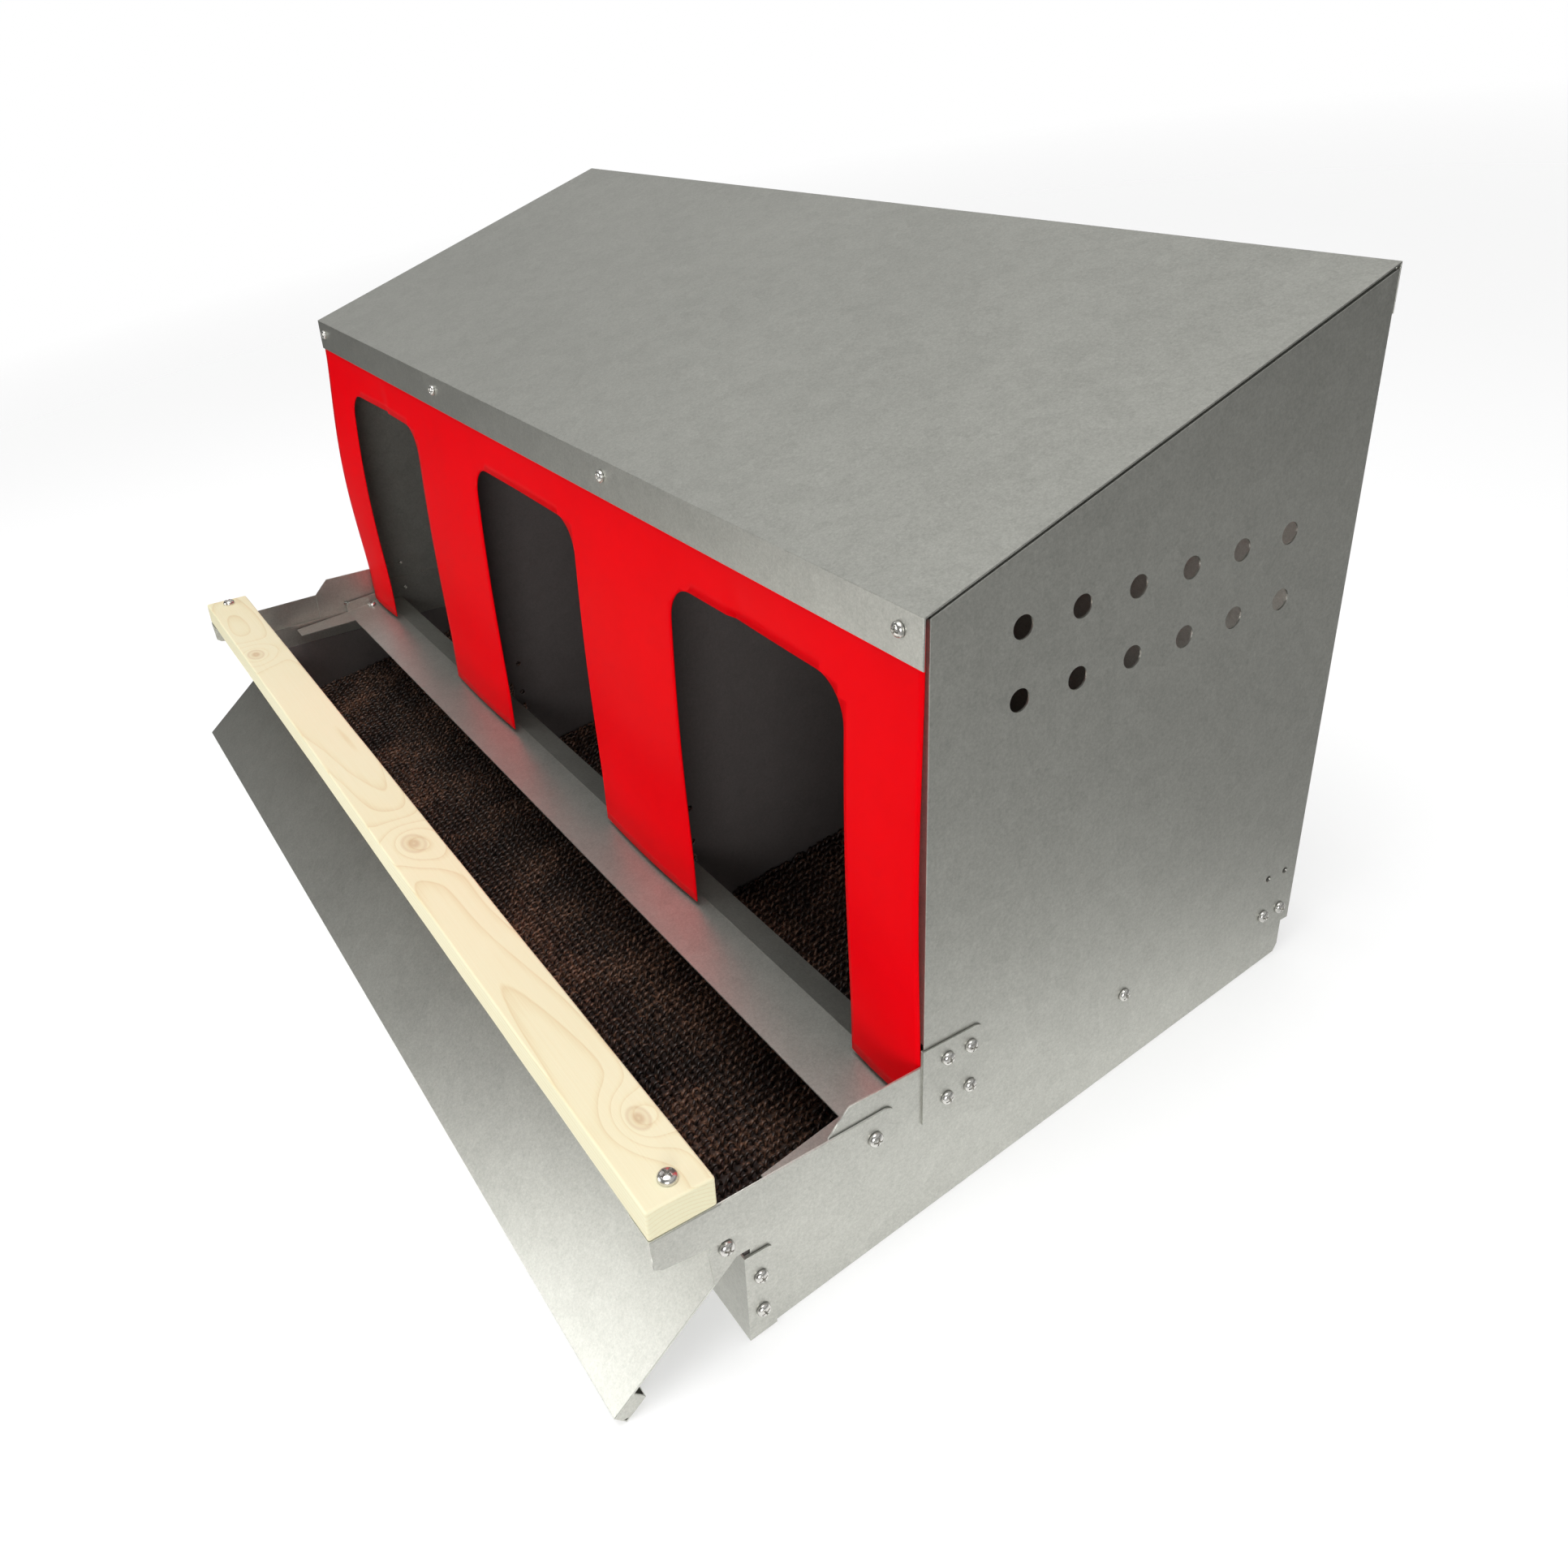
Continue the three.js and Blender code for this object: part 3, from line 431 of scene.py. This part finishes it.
# %% Curtain outline
low, high = plumb_box("curtain")
CURTAIN = {"half": high.x, "foot": low.z, "head": high.z, "y": (low.y + high.y) / 2}
DOORWAY = {"pitch": 0.3048, "width": 0.174, "top": 0.241, "corner": 0.024, "shift": 0.0045}
NOTCH_WIDTH, NOTCH_LOW, NOTCH_HIGH = 0.0032, 0.0095, 0.0127  # small notch at each lower corner
print("curtain:", {k: round(v, 4) for k, v in CURTAIN.items()})


def curtain_outline():
    """The flat sheet's (x, z) corners, along its foot from left to right and back over its top."""
    edge, foot = -CURTAIN["half"], CURTAIN["foot"]
    points = [(edge, foot + NOTCH_HIGH), (edge + NOTCH_WIDTH, foot + NOTCH_LOW), (edge + NOTCH_WIDTH, foot)]
    quarter = np.linspace(0, math.pi / 2, 10)
    for i in (-1, 0, 1):
        left = i * DOORWAY["pitch"] - DOORWAY["width"] / 2 + DOORWAY["shift"]
        right = left + DOORWAY["width"]
        r, spring = DOORWAY["corner"], DOORWAY["top"] - DOORWAY["corner"]
        points.append((left, foot))
        points += [(left + r - r * math.cos(a), spring + r * math.sin(a)) for a in quarter]
        points += [(right - r + r * math.sin(a), spring + r * math.cos(a)) for a in quarter]
        points.append((right, foot))
    points += [(-x, z) for x, z in points[2::-1]]
    return points + [(CURTAIN["half"], CURTAIN["head"]), (-CURTAIN["half"], CURTAIN["head"])]


def leg_middle(x):
    """The middle of the leg of curtain nearest to x, and half that leg's width."""
    inner = DOORWAY["pitch"] / 2
    ends = (CURTAIN["half"] + DOORWAY["pitch"] + DOORWAY["width"] / 2) / 2
    middles = [(-ends, CURTAIN["half"] - ends), (-inner, inner - DOORWAY["width"] / 2),
               (inner, inner - DOORWAY["width"] / 2), (ends, CURTAIN["half"] - ends)]
    return min(middles, key=lambda m: abs(m[0] - x))


CLAMP, HANG = 0.268, 0.26                              # height of the roof lip's edge, length below it
SWELL, EXTRA_LEFT, RIPPLE, CURL = 0.0022, 0.0042, 0.0012, 0.0014  # how far each bend stands out


def belly(x, z):
    """How far forward of its flat place the hanging curtain stands, in metres."""
    free = max(0.0, (CLAMP - z) / HANG)
    swell = math.sin(math.pi * min(1.0, free * 1.12)) ** 1.3 if free < 0.89 else 0.0
    left = max(0.0, min(1.0, (-x / CURTAIN["half"] - 0.55) / 0.45))
    middle, half = leg_middle(x)
    crown = 1 - ((x - middle) / half) ** 2
    ripple = noise.noise(Vector((x * 5.5, z * 3.0, 1.7)))
    return swell * (SWELL + EXTRA_LEFT * left ** 1.5) + RIPPLE * free * ripple + CURL * crown * free


# %% Hang the curtain
def sliced_plate(points, step):
    """A flat face with this (x, z) outline, cut into cells no larger than step."""
    work = bmesh.new()
    work.faces.new([work.verts.new((x, 0, z)) for x, z in points])
    xs, zs = [p[0] for p in points], [p[1] for p in points]
    for axis, low, high in ((0, min(xs), max(xs)), (2, min(zs), max(zs))):
        for place in np.arange(low + step, high - step / 3, step):
            normal, at = Vector((0, 0, 0)), Vector((0, 0, 0))
            normal[axis], at[axis] = 1, place
            bmesh.ops.bisect_plane(work, geom=work.verts[:] + work.edges[:] + work.faces[:],
                                   plane_co=at, plane_no=normal, dist=1e-6)
    return work


CELL = 0.0075
work = sliced_plate(curtain_outline(), CELL)
flat_area = sum(f.calc_area() for f in work.faces)
for v in work.verts:
    x, z = v.co.x, v.co.z
    v.co.y = CURTAIN["y"] - belly(x, z)
    v.co = PLUMB @ v.co
curtain_mesh = bpy.data.meshes.new("curtain_sheet")
work.to_mesh(curtain_mesh)
work.free()
print("curtain cells:", len(curtain_mesh.polygons), "flat area", round(flat_area, 4))

# %% Red plastic
red = bpy.data.materials.new("red_plastic")
red.use_nodes = True
tree = red.node_tree
skin = tree.nodes["Principled BSDF"]
skin.inputs["IOR"].default_value = 1.12
skin.inputs["Specular IOR Level"].default_value = 0.18
skin.inputs["Subsurface Weight"].default_value = 0.25
skin.inputs["Subsurface Radius"].default_value = (1.0, 0.06, 0.06)
skin.inputs["Subsurface Scale"].default_value = 0.003
coords = node(tree, "ShaderNodeTexCoord")
haze = noise_at(tree, coords.outputs["Object"], 14.0, 4.0, 0.6)
orange_peel = noise_at(tree, coords.outputs["Object"], 620.0, 2.0, 0.5)
wave = noise_at(tree, coords.outputs["Object"], 22.0, 2.0, 0.4)
tint = ramp(tree, haze, [(0.3, (0.90, 0.0010, 0.0050)), (0.7, (0.98, 0.0014, 0.0060))])
relief = node(tree, "ShaderNodeBump", Strength=0.12, Distance=0.0006)
wire(tree, (tint.outputs["Color"], skin.inputs["Base Color"]),
     (scaled(tree, haze, 0.24, 0.42), skin.inputs["Roughness"]),
     (sum_of(tree, (wave, 0.8), (orange_peel, 0.1)), relief.inputs["Height"]),
     (relief.outputs["Normal"], skin.inputs["Normal"]))
shade(curtain_mesh, 60)
curtain = add_object("curtain_sheet", curtain_mesh, "box", ["curtain"], red)
thick = curtain.modifiers.new("thickness", "SOLIDIFY")
thick.thickness, thick.offset = 0.0008, 0.0

# %% [markdown]
# The perch is one length of planed pine, 38 by 19 mm. Pine shows its growth rings: each year lays
# down a pale band and a thin darker line round the middle of the tree. Sawn along, those shells
# are cut into long nested arches, and across, into short curves. One rule gives both, the distance
# from the middle of the trunk, so the marks on the faces meet those on the end grain.

# %% Growth rings group
rings, given, result = new_group(
    "growth_rings",
    [("Vector", "NodeSocketVector", None), ("Ring width", "NodeSocketFloat", 0.0030)],
    [("Latewood", "NodeSocketFloat"), ("Fibre", "NodeSocketFloat"), ("Knot", "NodeSocketFloat")])


def reckon(kind, a, b=None):
    return maths(rings, kind, a, b)


def length_of(a, b):
    return reckon("SQRT", reckon("ADD", reckon("POWER", a, 2), reckon("POWER", b, 2)))


# %% Knots
KNOTS = [(-0.302, -0.157, 0.0075), (0.0905, -0.147, 0.0085), (0.404, -0.141, 0.006)]  # x, y, radius
KNOT_SLANT = 0.62   # each is cut aslant, so it is longer along the board
place = node(rings, "ShaderNodeSeparateXYZ")
rings.links.new(given.outputs["Vector"], place.inputs[0])
x, y, z = (place.outputs[i] for i in range(3))
pulls, masks = [], []
for kx, ky, size in KNOTS:
    along = reckon("MULTIPLY", reckon("SUBTRACT", x, kx), KNOT_SLANT)
    near = reckon("DIVIDE", length_of(along, reckon("SUBTRACT", y, ky)), size)
    pulls.append(reckon("POWER", 2.718, reckon("MULTIPLY", reckon("POWER", near, 2), -0.16)))
    inside = node(rings, "ShaderNodeMapRange", interpolation_type="SMOOTHSTEP")
    for label, value in (("From Min", 1.1), ("From Max", 0.75), ("To Min", 0.0), ("To Max", 1.0)):
        inside.inputs[label].default_value = value
    rings.links.new(near, inside.inputs["Value"])
    circles = reckon("MULTIPLY", reckon("SINE", reckon("MULTIPLY", near, 7.5)), 0.30)
    masks.append(reckon("MULTIPLY", inside.outputs[0], reckon("ADD", circles, 0.55)))
knot_pull, knot_mask = pulls[0], masks[0]
for pull, mask in zip(pulls[1:], masks[1:]):
    knot_pull = reckon("ADD", knot_pull, pull)
    knot_mask = reckon("MAXIMUM", knot_mask, mask)
print("knots:", len(KNOTS))

# %% Rings
PITH_Y, PITH_Z = -0.146, -0.012   # the middle of the trunk, in the plumb frame
stretch = node(rings, "ShaderNodeMapping")
stretch.inputs["Scale"].default_value = (1.9, 10.0, 10.0)
rings.links.new(given.outputs["Vector"], stretch.inputs["Vector"])
drift = noise_at(rings, stretch.outputs[0], 1.0, 2.0, 0.45)
sway = reckon("MULTIPLY", reckon("SUBTRACT", drift, 0.5), 0.030)
across = reckon("ADD", reckon("SUBTRACT", y, PITH_Y), sway)
drifted = reckon("ADD", reckon("SUBTRACT", z, PITH_Z), reckon("MULTIPLY", drift, 0.040))
deep = reckon("ADD", drifted, reckon("MULTIPLY", knot_pull, 0.011))
year = reckon("FRACT", reckon("DIVIDE", length_of(across, deep), given.outputs["Ring width"]))
late = ramp(rings, year, [(0.0, 0.0), (0.62, 0.06), (0.88, 0.60), (0.94, 1.0), (1.0, 0.0)])
fibre_map = node(rings, "ShaderNodeMapping")
fibre_map.inputs["Scale"].default_value = (14.0, 900.0, 900.0)
rings.links.new(given.outputs["Vector"], fibre_map.inputs["Vector"])
wire(rings, (late.outputs["Color"], result.inputs["Latewood"]),
     (noise_at(rings, fibre_map.outputs[0], 1.0, 3.0, 0.6), result.inputs["Fibre"]),
     (knot_mask, result.inputs["Knot"]))
print("ring group has", len(rings.nodes), "nodes")

# %% Pine
pine = bpy.data.materials.new("planed_pine")
pine.use_nodes = True
tree = pine.node_tree
skin = tree.nodes["Principled BSDF"]
coords = node(tree, "ShaderNodeTexCoord")
to_plumb = node(tree, "ShaderNodeMapping", vector_type="POINT")
to_plumb.inputs["Location"].default_value = UNPLUMB.translation
to_plumb.inputs["Rotation"].default_value = UNPLUMB.to_euler()
growth = node(tree, "ShaderNodeGroup")
growth.node_tree = rings
wire(tree, (coords.outputs["Object"], to_plumb.inputs["Vector"]),
     (to_plumb.outputs[0], growth.inputs["Vector"]))
patches = noise_at(tree, to_plumb.outputs[0], 9.0, 3.0, 0.5)
figure = sum_of(tree, (growth.outputs["Latewood"], 0.26), (growth.outputs["Fibre"], 0.24), (patches, 0.30))
wood = ramp(tree, figure, [(0.15, (0.98, 0.95, 0.70)), (0.45, (0.94, 0.88, 0.60)), (0.85, (0.78, 0.62, 0.34))])
knotty = node(tree, "ShaderNodeMix", data_type="RGBA")
knotty.inputs["B"].default_value = (0.60, 0.38, 0.19, 1)
relief = node(tree, "ShaderNodeBump", Strength=0.25, Distance=0.0004)
wire(tree, (scaled(tree, growth.outputs["Knot"], 0.0, 0.72), knotty.inputs["Factor"]),
     (wood.outputs["Color"], knotty.inputs["A"]), (knotty.outputs["Result"], skin.inputs["Base Color"]),
     (scaled(tree, growth.outputs["Fibre"], 0.48, 0.70), skin.inputs["Roughness"]),
     (sum_of(tree, (growth.outputs["Fibre"], 0.6), (growth.outputs["Latewood"], 0.4)), relief.inputs["Height"]),
     (relief.outputs["Normal"], skin.inputs["Normal"]))
print("pine has", len(tree.nodes), "nodes")

# %% Plane the perch board
SLICE, ARRIS, WANDER = 0.02, 0.0014, 0.00022   # cuts along the board, rounded edges, unevenness
low, high = plumb_box("perch_board")
work = bmesh.new()
bmesh.ops.create_cube(work, size=1.0)
for v in work.verts:
    v.co = Vector([low[i] if v.co[i] < 0 else high[i] for i in range(3)])
for place in np.arange(low.x + SLICE, high.x, SLICE):
    bmesh.ops.bisect_plane(work, geom=work.verts[:] + work.edges[:] + work.faces[:],
                           plane_co=(place, 0, 0), plane_no=(1, 0, 0), dist=1e-6)
bevel(work, [e for e in work.edges if e.calc_face_angle() > 1], ARRIS, 4)
for v in work.verts:
    wander = noise.noise_vector(v.co * 21) * WANDER
    v.co = PLUMB @ (v.co + Vector((0, wander.y, wander.z)))
board_mesh = bpy.data.meshes.new("perch_timber")
work.to_mesh(board_mesh)
work.free()
shade(board_mesh)
board = add_object("perch_timber", board_mesh, "perch", ["perch_board"], pine)
board.modifiers.new("flat faces stay flat", "WEIGHTED_NORMAL").keep_sharp = True
print("perch board:", [round(v, 4) for v in (high - low)])

# %% [markdown]
# All the fixings are pan-head screws with a cross recess. One head is modelled with care, as a
# polar grid whose height follows the dome and dips into the cross, and Geometry Nodes place a copy
# on each point of a small cloud. Each point carries its own turn and size, so no two slots line
# up. The copies are made real and given their finish at the end of the tree.

# %% One screw head
def clamped(value):
    return max(0.0, min(1.0, value))


def screw_head(rings_out=20, spokes=56):
    """A pan head of radius 1 on z = 0, facing +Z, with its cross recess."""
    verts, faces = [], []
    for k in range(rings_out + 1):
        r = k / rings_out
        for s in range(spokes):
            a = 2 * math.pi * s / spokes
            dome = 0.60 * (1 - r ** 2.6) ** 0.55 if r < 1 else 0.0
            arm = min(abs(r * math.sin(a)), abs(r * math.cos(a)))
            slot = clamped((0.135 - 0.05 * r - arm) / 0.045) * clamped((0.66 - r) / 0.08)
            core = clamped((0.24 - r) / 0.08)
            depth = 0.40 * max(slot * slot * (3 - 2 * slot), core)
            verts.append((r * math.cos(a), r * math.sin(a), 0.10 + dome - depth))
    for k in range(rings_out):
        for s in range(spokes):
            n = (s + 1) % spokes
            faces.append((k * spokes + s, (k + 1) * spokes + s, (k + 1) * spokes + n, k * spokes + n))
    base = len(verts)
    turns = [2 * math.pi * s / spokes for s in range(spokes)]
    verts += [(math.cos(a), math.sin(a), 0.0) for a in turns]
    outer = rings_out * spokes
    faces += [(outer + s, base + s, base + (s + 1) % spokes, outer + (s + 1) % spokes) for s in range(spokes)]
    faces.append(tuple(base + s for s in reversed(range(spokes))))
    mesh = bpy.data.meshes.new("screw_head")
    mesh.from_pydata(verts, [], faces)
    work = bmesh.new()
    work.from_mesh(mesh)
    bmesh.ops.remove_doubles(work, verts=work.verts, dist=1e-5)
    bmesh.ops.recalc_face_normals(work, faces=work.faces)
    work.to_mesh(mesh)
    work.free()
    shade(mesh, 45)
    return mesh


head_mesh = screw_head()
head_object = bpy.data.objects.new("screw_head_pattern", head_mesh)
print("screw head:", len(head_mesh.polygons), "faces")

# %% Bright zinc
bright_zinc = steel("bright_zinc", (0.50, 0.49, 0.46), (0.82, 0.81, 0.77), (0.16, 0.34), bump=0.04)
print("screws are finished in", bright_zinc.name)

# %% Tree that sets copies on points
def copies_tree():
    tree = bpy.data.node_groups.new("set_copies", "GeometryNodeTree")
    for label, kind in (("Geometry", "Geometry"), ("Pattern", "Object"), ("Finish", "Material")):
        tree.interface.new_socket(label, in_out="INPUT", socket_type="NodeSocket" + kind)
    tree.interface.new_socket("Geometry", in_out="OUTPUT", socket_type="NodeSocketGeometry")
    given, result = node(tree, "NodeGroupInput"), node(tree, "NodeGroupOutput")
    pattern = node(tree, "GeometryNodeObjectInfo")
    turned = node(tree, "GeometryNodeInputNamedAttribute", data_type="FLOAT_VECTOR")
    turned.inputs["Name"].default_value = "turn"
    sized = node(tree, "GeometryNodeInputNamedAttribute", data_type="FLOAT")
    sized.inputs["Name"].default_value = "size"
    euler = node(tree, "FunctionNodeEulerToRotation")
    copies = node(tree, "GeometryNodeInstanceOnPoints")
    real = node(tree, "GeometryNodeRealizeInstances")
    finish = node(tree, "GeometryNodeSetMaterial")
    wire(tree, (given.outputs["Geometry"], copies.inputs["Points"]),
         (given.outputs["Pattern"], pattern.inputs["Object"]),
         (pattern.outputs["Geometry"], copies.inputs["Instance"]),
         (turned.outputs["Attribute"], euler.inputs[0]), (euler.outputs[0], copies.inputs["Rotation"]),
         (sized.outputs["Attribute"], copies.inputs["Scale"]),
         (copies.outputs["Instances"], real.inputs["Geometry"]),
         (real.outputs["Geometry"], finish.inputs["Geometry"]),
         (given.outputs["Finish"], finish.inputs["Material"]),
         (finish.outputs["Geometry"], result.inputs["Geometry"]))
    return tree


def socket_id(tree, label):
    return next(s.identifier for s in tree.interface.items_tree if s.name == label and s.in_out == "INPUT")


def grown(name, host_mesh, tree, values):
    """The mesh that a Geometry Nodes tree makes from host_mesh, as a plain mesh."""
    host = bpy.data.objects.new(name + "_host", host_mesh)
    scene.collection.objects.link(host)
    modifier = host.modifiers.new("grow", "NODES")
    modifier.node_group = tree
    for label, value in values.items():
        modifier[socket_id(tree, label)] = value
    bpy.context.view_layer.update()
    mesh = bpy.data.meshes.new_from_object(host.evaluated_get(bpy.context.evaluated_depsgraph_get()))
    bpy.data.objects.remove(host)
    mesh.name = name
    return mesh


# %% [markdown]
# Where each screw goes is read from the engineering model: the widest ring of points on its solid
# is the rim of its head. The way it faces follows from the part that it fixes.

# %% Set the screws
def screw_axis(name):
    """(seat of the head, direction it faces, head radius) of a CAD screw."""
    points = np.array([v.co for v in frame["nodes"][name].data.vertices])
    if name.startswith("lip"):
        out = PLUMB.to_3x3() @ Vector((0, -1, 0))
    elif name.startswith("perch_screw"):
        out = PLUMB.to_3x3() @ Vector((0, 0, 1))
    elif name.startswith("sill"):
        out = Vector((0, 0, 1))
    else:
        out = Vector((1 if name.count("right") else -1, 0, 0))
    axis = np.array(out)
    height = points @ axis
    flat = points - np.outer(height, axis)
    radial = np.linalg.norm(flat - flat.mean(axis=0), axis=1)
    head_rim = radial > radial.max() * 0.97
    centre = flat[head_rim].mean(axis=0) + height[head_rim].min() * axis
    return Vector(centre), out, float(radial.max())


def point_cloud(name, places, turns, sizes):
    """A mesh of loose points that carry a turn and a size for the copies set on them."""
    mesh = bpy.data.meshes.new(name)
    mesh.from_pydata([tuple(p) for p in places], [], [])
    mesh.attributes.new("turn", "FLOAT_VECTOR", "POINT")
    mesh.attributes.new("size", "FLOAT", "POINT")
    mesh.attributes["turn"].data.foreach_set("vector", np.array(turns, dtype=np.float32).ravel())
    mesh.attributes["size"].data.foreach_set("value", np.array(sizes, dtype=np.float32))
    return mesh


HEAD_FIT = 0.985   # the modelled head stays just inside the CAD's plain one
chance = random.Random(7)
screw_nodes = [n for n in frame["nodes"] if "screw" in n or "pivot" in n]
set_copies = copies_tree()
for body in ("box", "perch"):
    mine = [n for n in screw_nodes if n.startswith("perch_screw") == (body == "perch")]
    seats = [screw_axis(n) for n in mine]
    spins = [Matrix.Rotation(chance.uniform(0, math.pi), 3, "Z") for _ in seats]
    turns = [(out.to_track_quat("Z", "Y").to_matrix() @ spin).to_euler()
             for (_, out, _), spin in zip(seats, spins)]
    cloud_mesh = point_cloud(f"{body}_screw_seats", [seat for seat, _, _ in seats], turns,
                             [radius * HEAD_FIT for _, _, radius in seats])
    mesh = grown(f"{body}_screws", cloud_mesh, set_copies, {"Pattern": head_object, "Finish": bright_zinc})
    shade(mesh, 45)
    add_object(f"{body}_screws", mesh, body, mine, bright_zinc)
    print(body, "screws:", len(mine), "faces", len(mesh.polygons))

# %% [markdown]
# The mats in the tray and the nests are moulded from looped brown plastic. Each loop is a small
# arch of strand, and the loops stand in rows that run from front to back on a thin backing. One
# loop is kept to some thirty triangles, because thousands of them are set. Every loop gets its own
# lean, turn, size and a small shift out of its row, from a fixed seed.

# %% One loop of strand
def strand_loop(steps=4, sides=4, thick=0.17):
    """An arch about one unit long and high, of a strand with a square section."""
    verts, faces = [], []
    for k in range(steps + 1):
        a = math.pi * k / steps
        centre = Vector((0.42 * math.cos(a), 0.10 * math.sin(2 * a), 0.66 * math.sin(a) ** 0.8))
        radial = Vector((math.cos(a), 0, math.sin(a)))
        for s in range(sides):
            b = 2 * math.pi * (s + 0.5) / sides
            verts.append(centre + thick * (radial * math.cos(b) + Vector((0, 1, 0)) * math.sin(b)))
    for k in range(steps):
        for s in range(sides):
            n = (s + 1) % sides
            faces.append((k * sides + s, k * sides + n, (k + 1) * sides + n, (k + 1) * sides + s))
    mesh = bpy.data.meshes.new("strand_loop")
    mesh.from_pydata(verts, [], faces)
    shade(mesh, 180)
    return mesh


loop_object = bpy.data.objects.new("strand_loop_pattern", strand_loop())
print("loop:", len(loop_object.data.polygons), "faces")

# %% Looped plastic
turf = bpy.data.materials.new("looped_brown")
turf.use_nodes = True
tree = turf.node_tree
skin = tree.nodes["Principled BSDF"]
coords = node(tree, "ShaderNodeTexCoord")
strands = noise_at(tree, coords.outputs["Object"], 260.0, 3.0, 0.7)
drifts = noise_at(tree, coords.outputs["Object"], 16.0, 3.0, 0.5)
# The brown varies at random, as the plastic's own colour does; its lightest stop is painted glints, pale specks
# scattered by noise.
brown = ramp(tree, sum_of(tree, (strands, 0.9), (drifts, 0.5)),
             [(0.30, (0.008, 0.005, 0.004)), (0.50, (0.036, 0.020, 0.014)), (0.72, (0.26, 0.135, 0.085))])
relief = node(tree, "ShaderNodeBump", Strength=0.3, Distance=0.0004)
wire(tree, (brown.outputs["Color"], skin.inputs["Base Color"]),
     (scaled(tree, strands, 0.55, 0.25), skin.inputs["Roughness"]),
     (strands, relief.inputs["Height"]), (relief.outputs["Normal"], skin.inputs["Normal"]))
print("looped plastic has", len(tree.nodes), "nodes")

# %% Set the loops in rows
ROW, STITCH, LOOP, LOOP_HEIGHT = 0.0062, 0.0050, 0.0070, 0.0054
END_MARGIN, FRONT_MARGIN, STRAY, BACKING_INSET = 0.0034, 0.0042, 0.0006, 0.0035
drawn = np.random.default_rng(11)
for name in ("tray_mat", "nest_mat_left", "nest_mat_centre", "nest_mat_right"):
    low, high = (np.array(v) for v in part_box(name))
    top = high[2] - LOOP_HEIGHT
    xs = np.arange(low[0] + END_MARGIN, high[0] - END_MARGIN, ROW)
    ys = np.arange(low[1] + FRONT_MARGIN, high[1] - FRONT_MARGIN, STITCH)
    grid = np.array([(x, y, top) for x in xs for y in ys])
    grid[:, :2] += drawn.uniform(-STRAY, STRAY, (len(grid), 2))
    turns = drawn.uniform((-0.25, -0.25, 1.25), (0.25, 0.25, 1.90), (len(grid), 3))
    cloud_mesh = point_cloud(name + "_stitches", grid, turns, LOOP * drawn.uniform(0.85, 1.12, len(grid)))
    mesh = grown(name + "_loops", cloud_mesh, set_copies, {"Pattern": loop_object, "Finish": turf})
    work = bmesh.new()
    work.from_mesh(mesh)
    backing = bmesh.ops.create_cube(work, size=1.0)["verts"]
    inset = np.array((BACKING_INSET, BACKING_INSET, 0))
    for v in backing:
        v.co = [(low + inset)[i] if v.co[i] < 0 else (high - inset)[i] for i in range(3)]
        v.co.z = min(v.co.z, top + 0.0004)
    work.to_mesh(mesh)
    work.free()
    add_object(name + "_loops", mesh, "box", [name], turf)
    print(name, "loops:", len(grid), "faces:", len(mesh.polygons))

# %% [markdown]
# Last, the scene is brought up to date.

# %% Bring the scene up to date
bpy.context.view_layer.update()
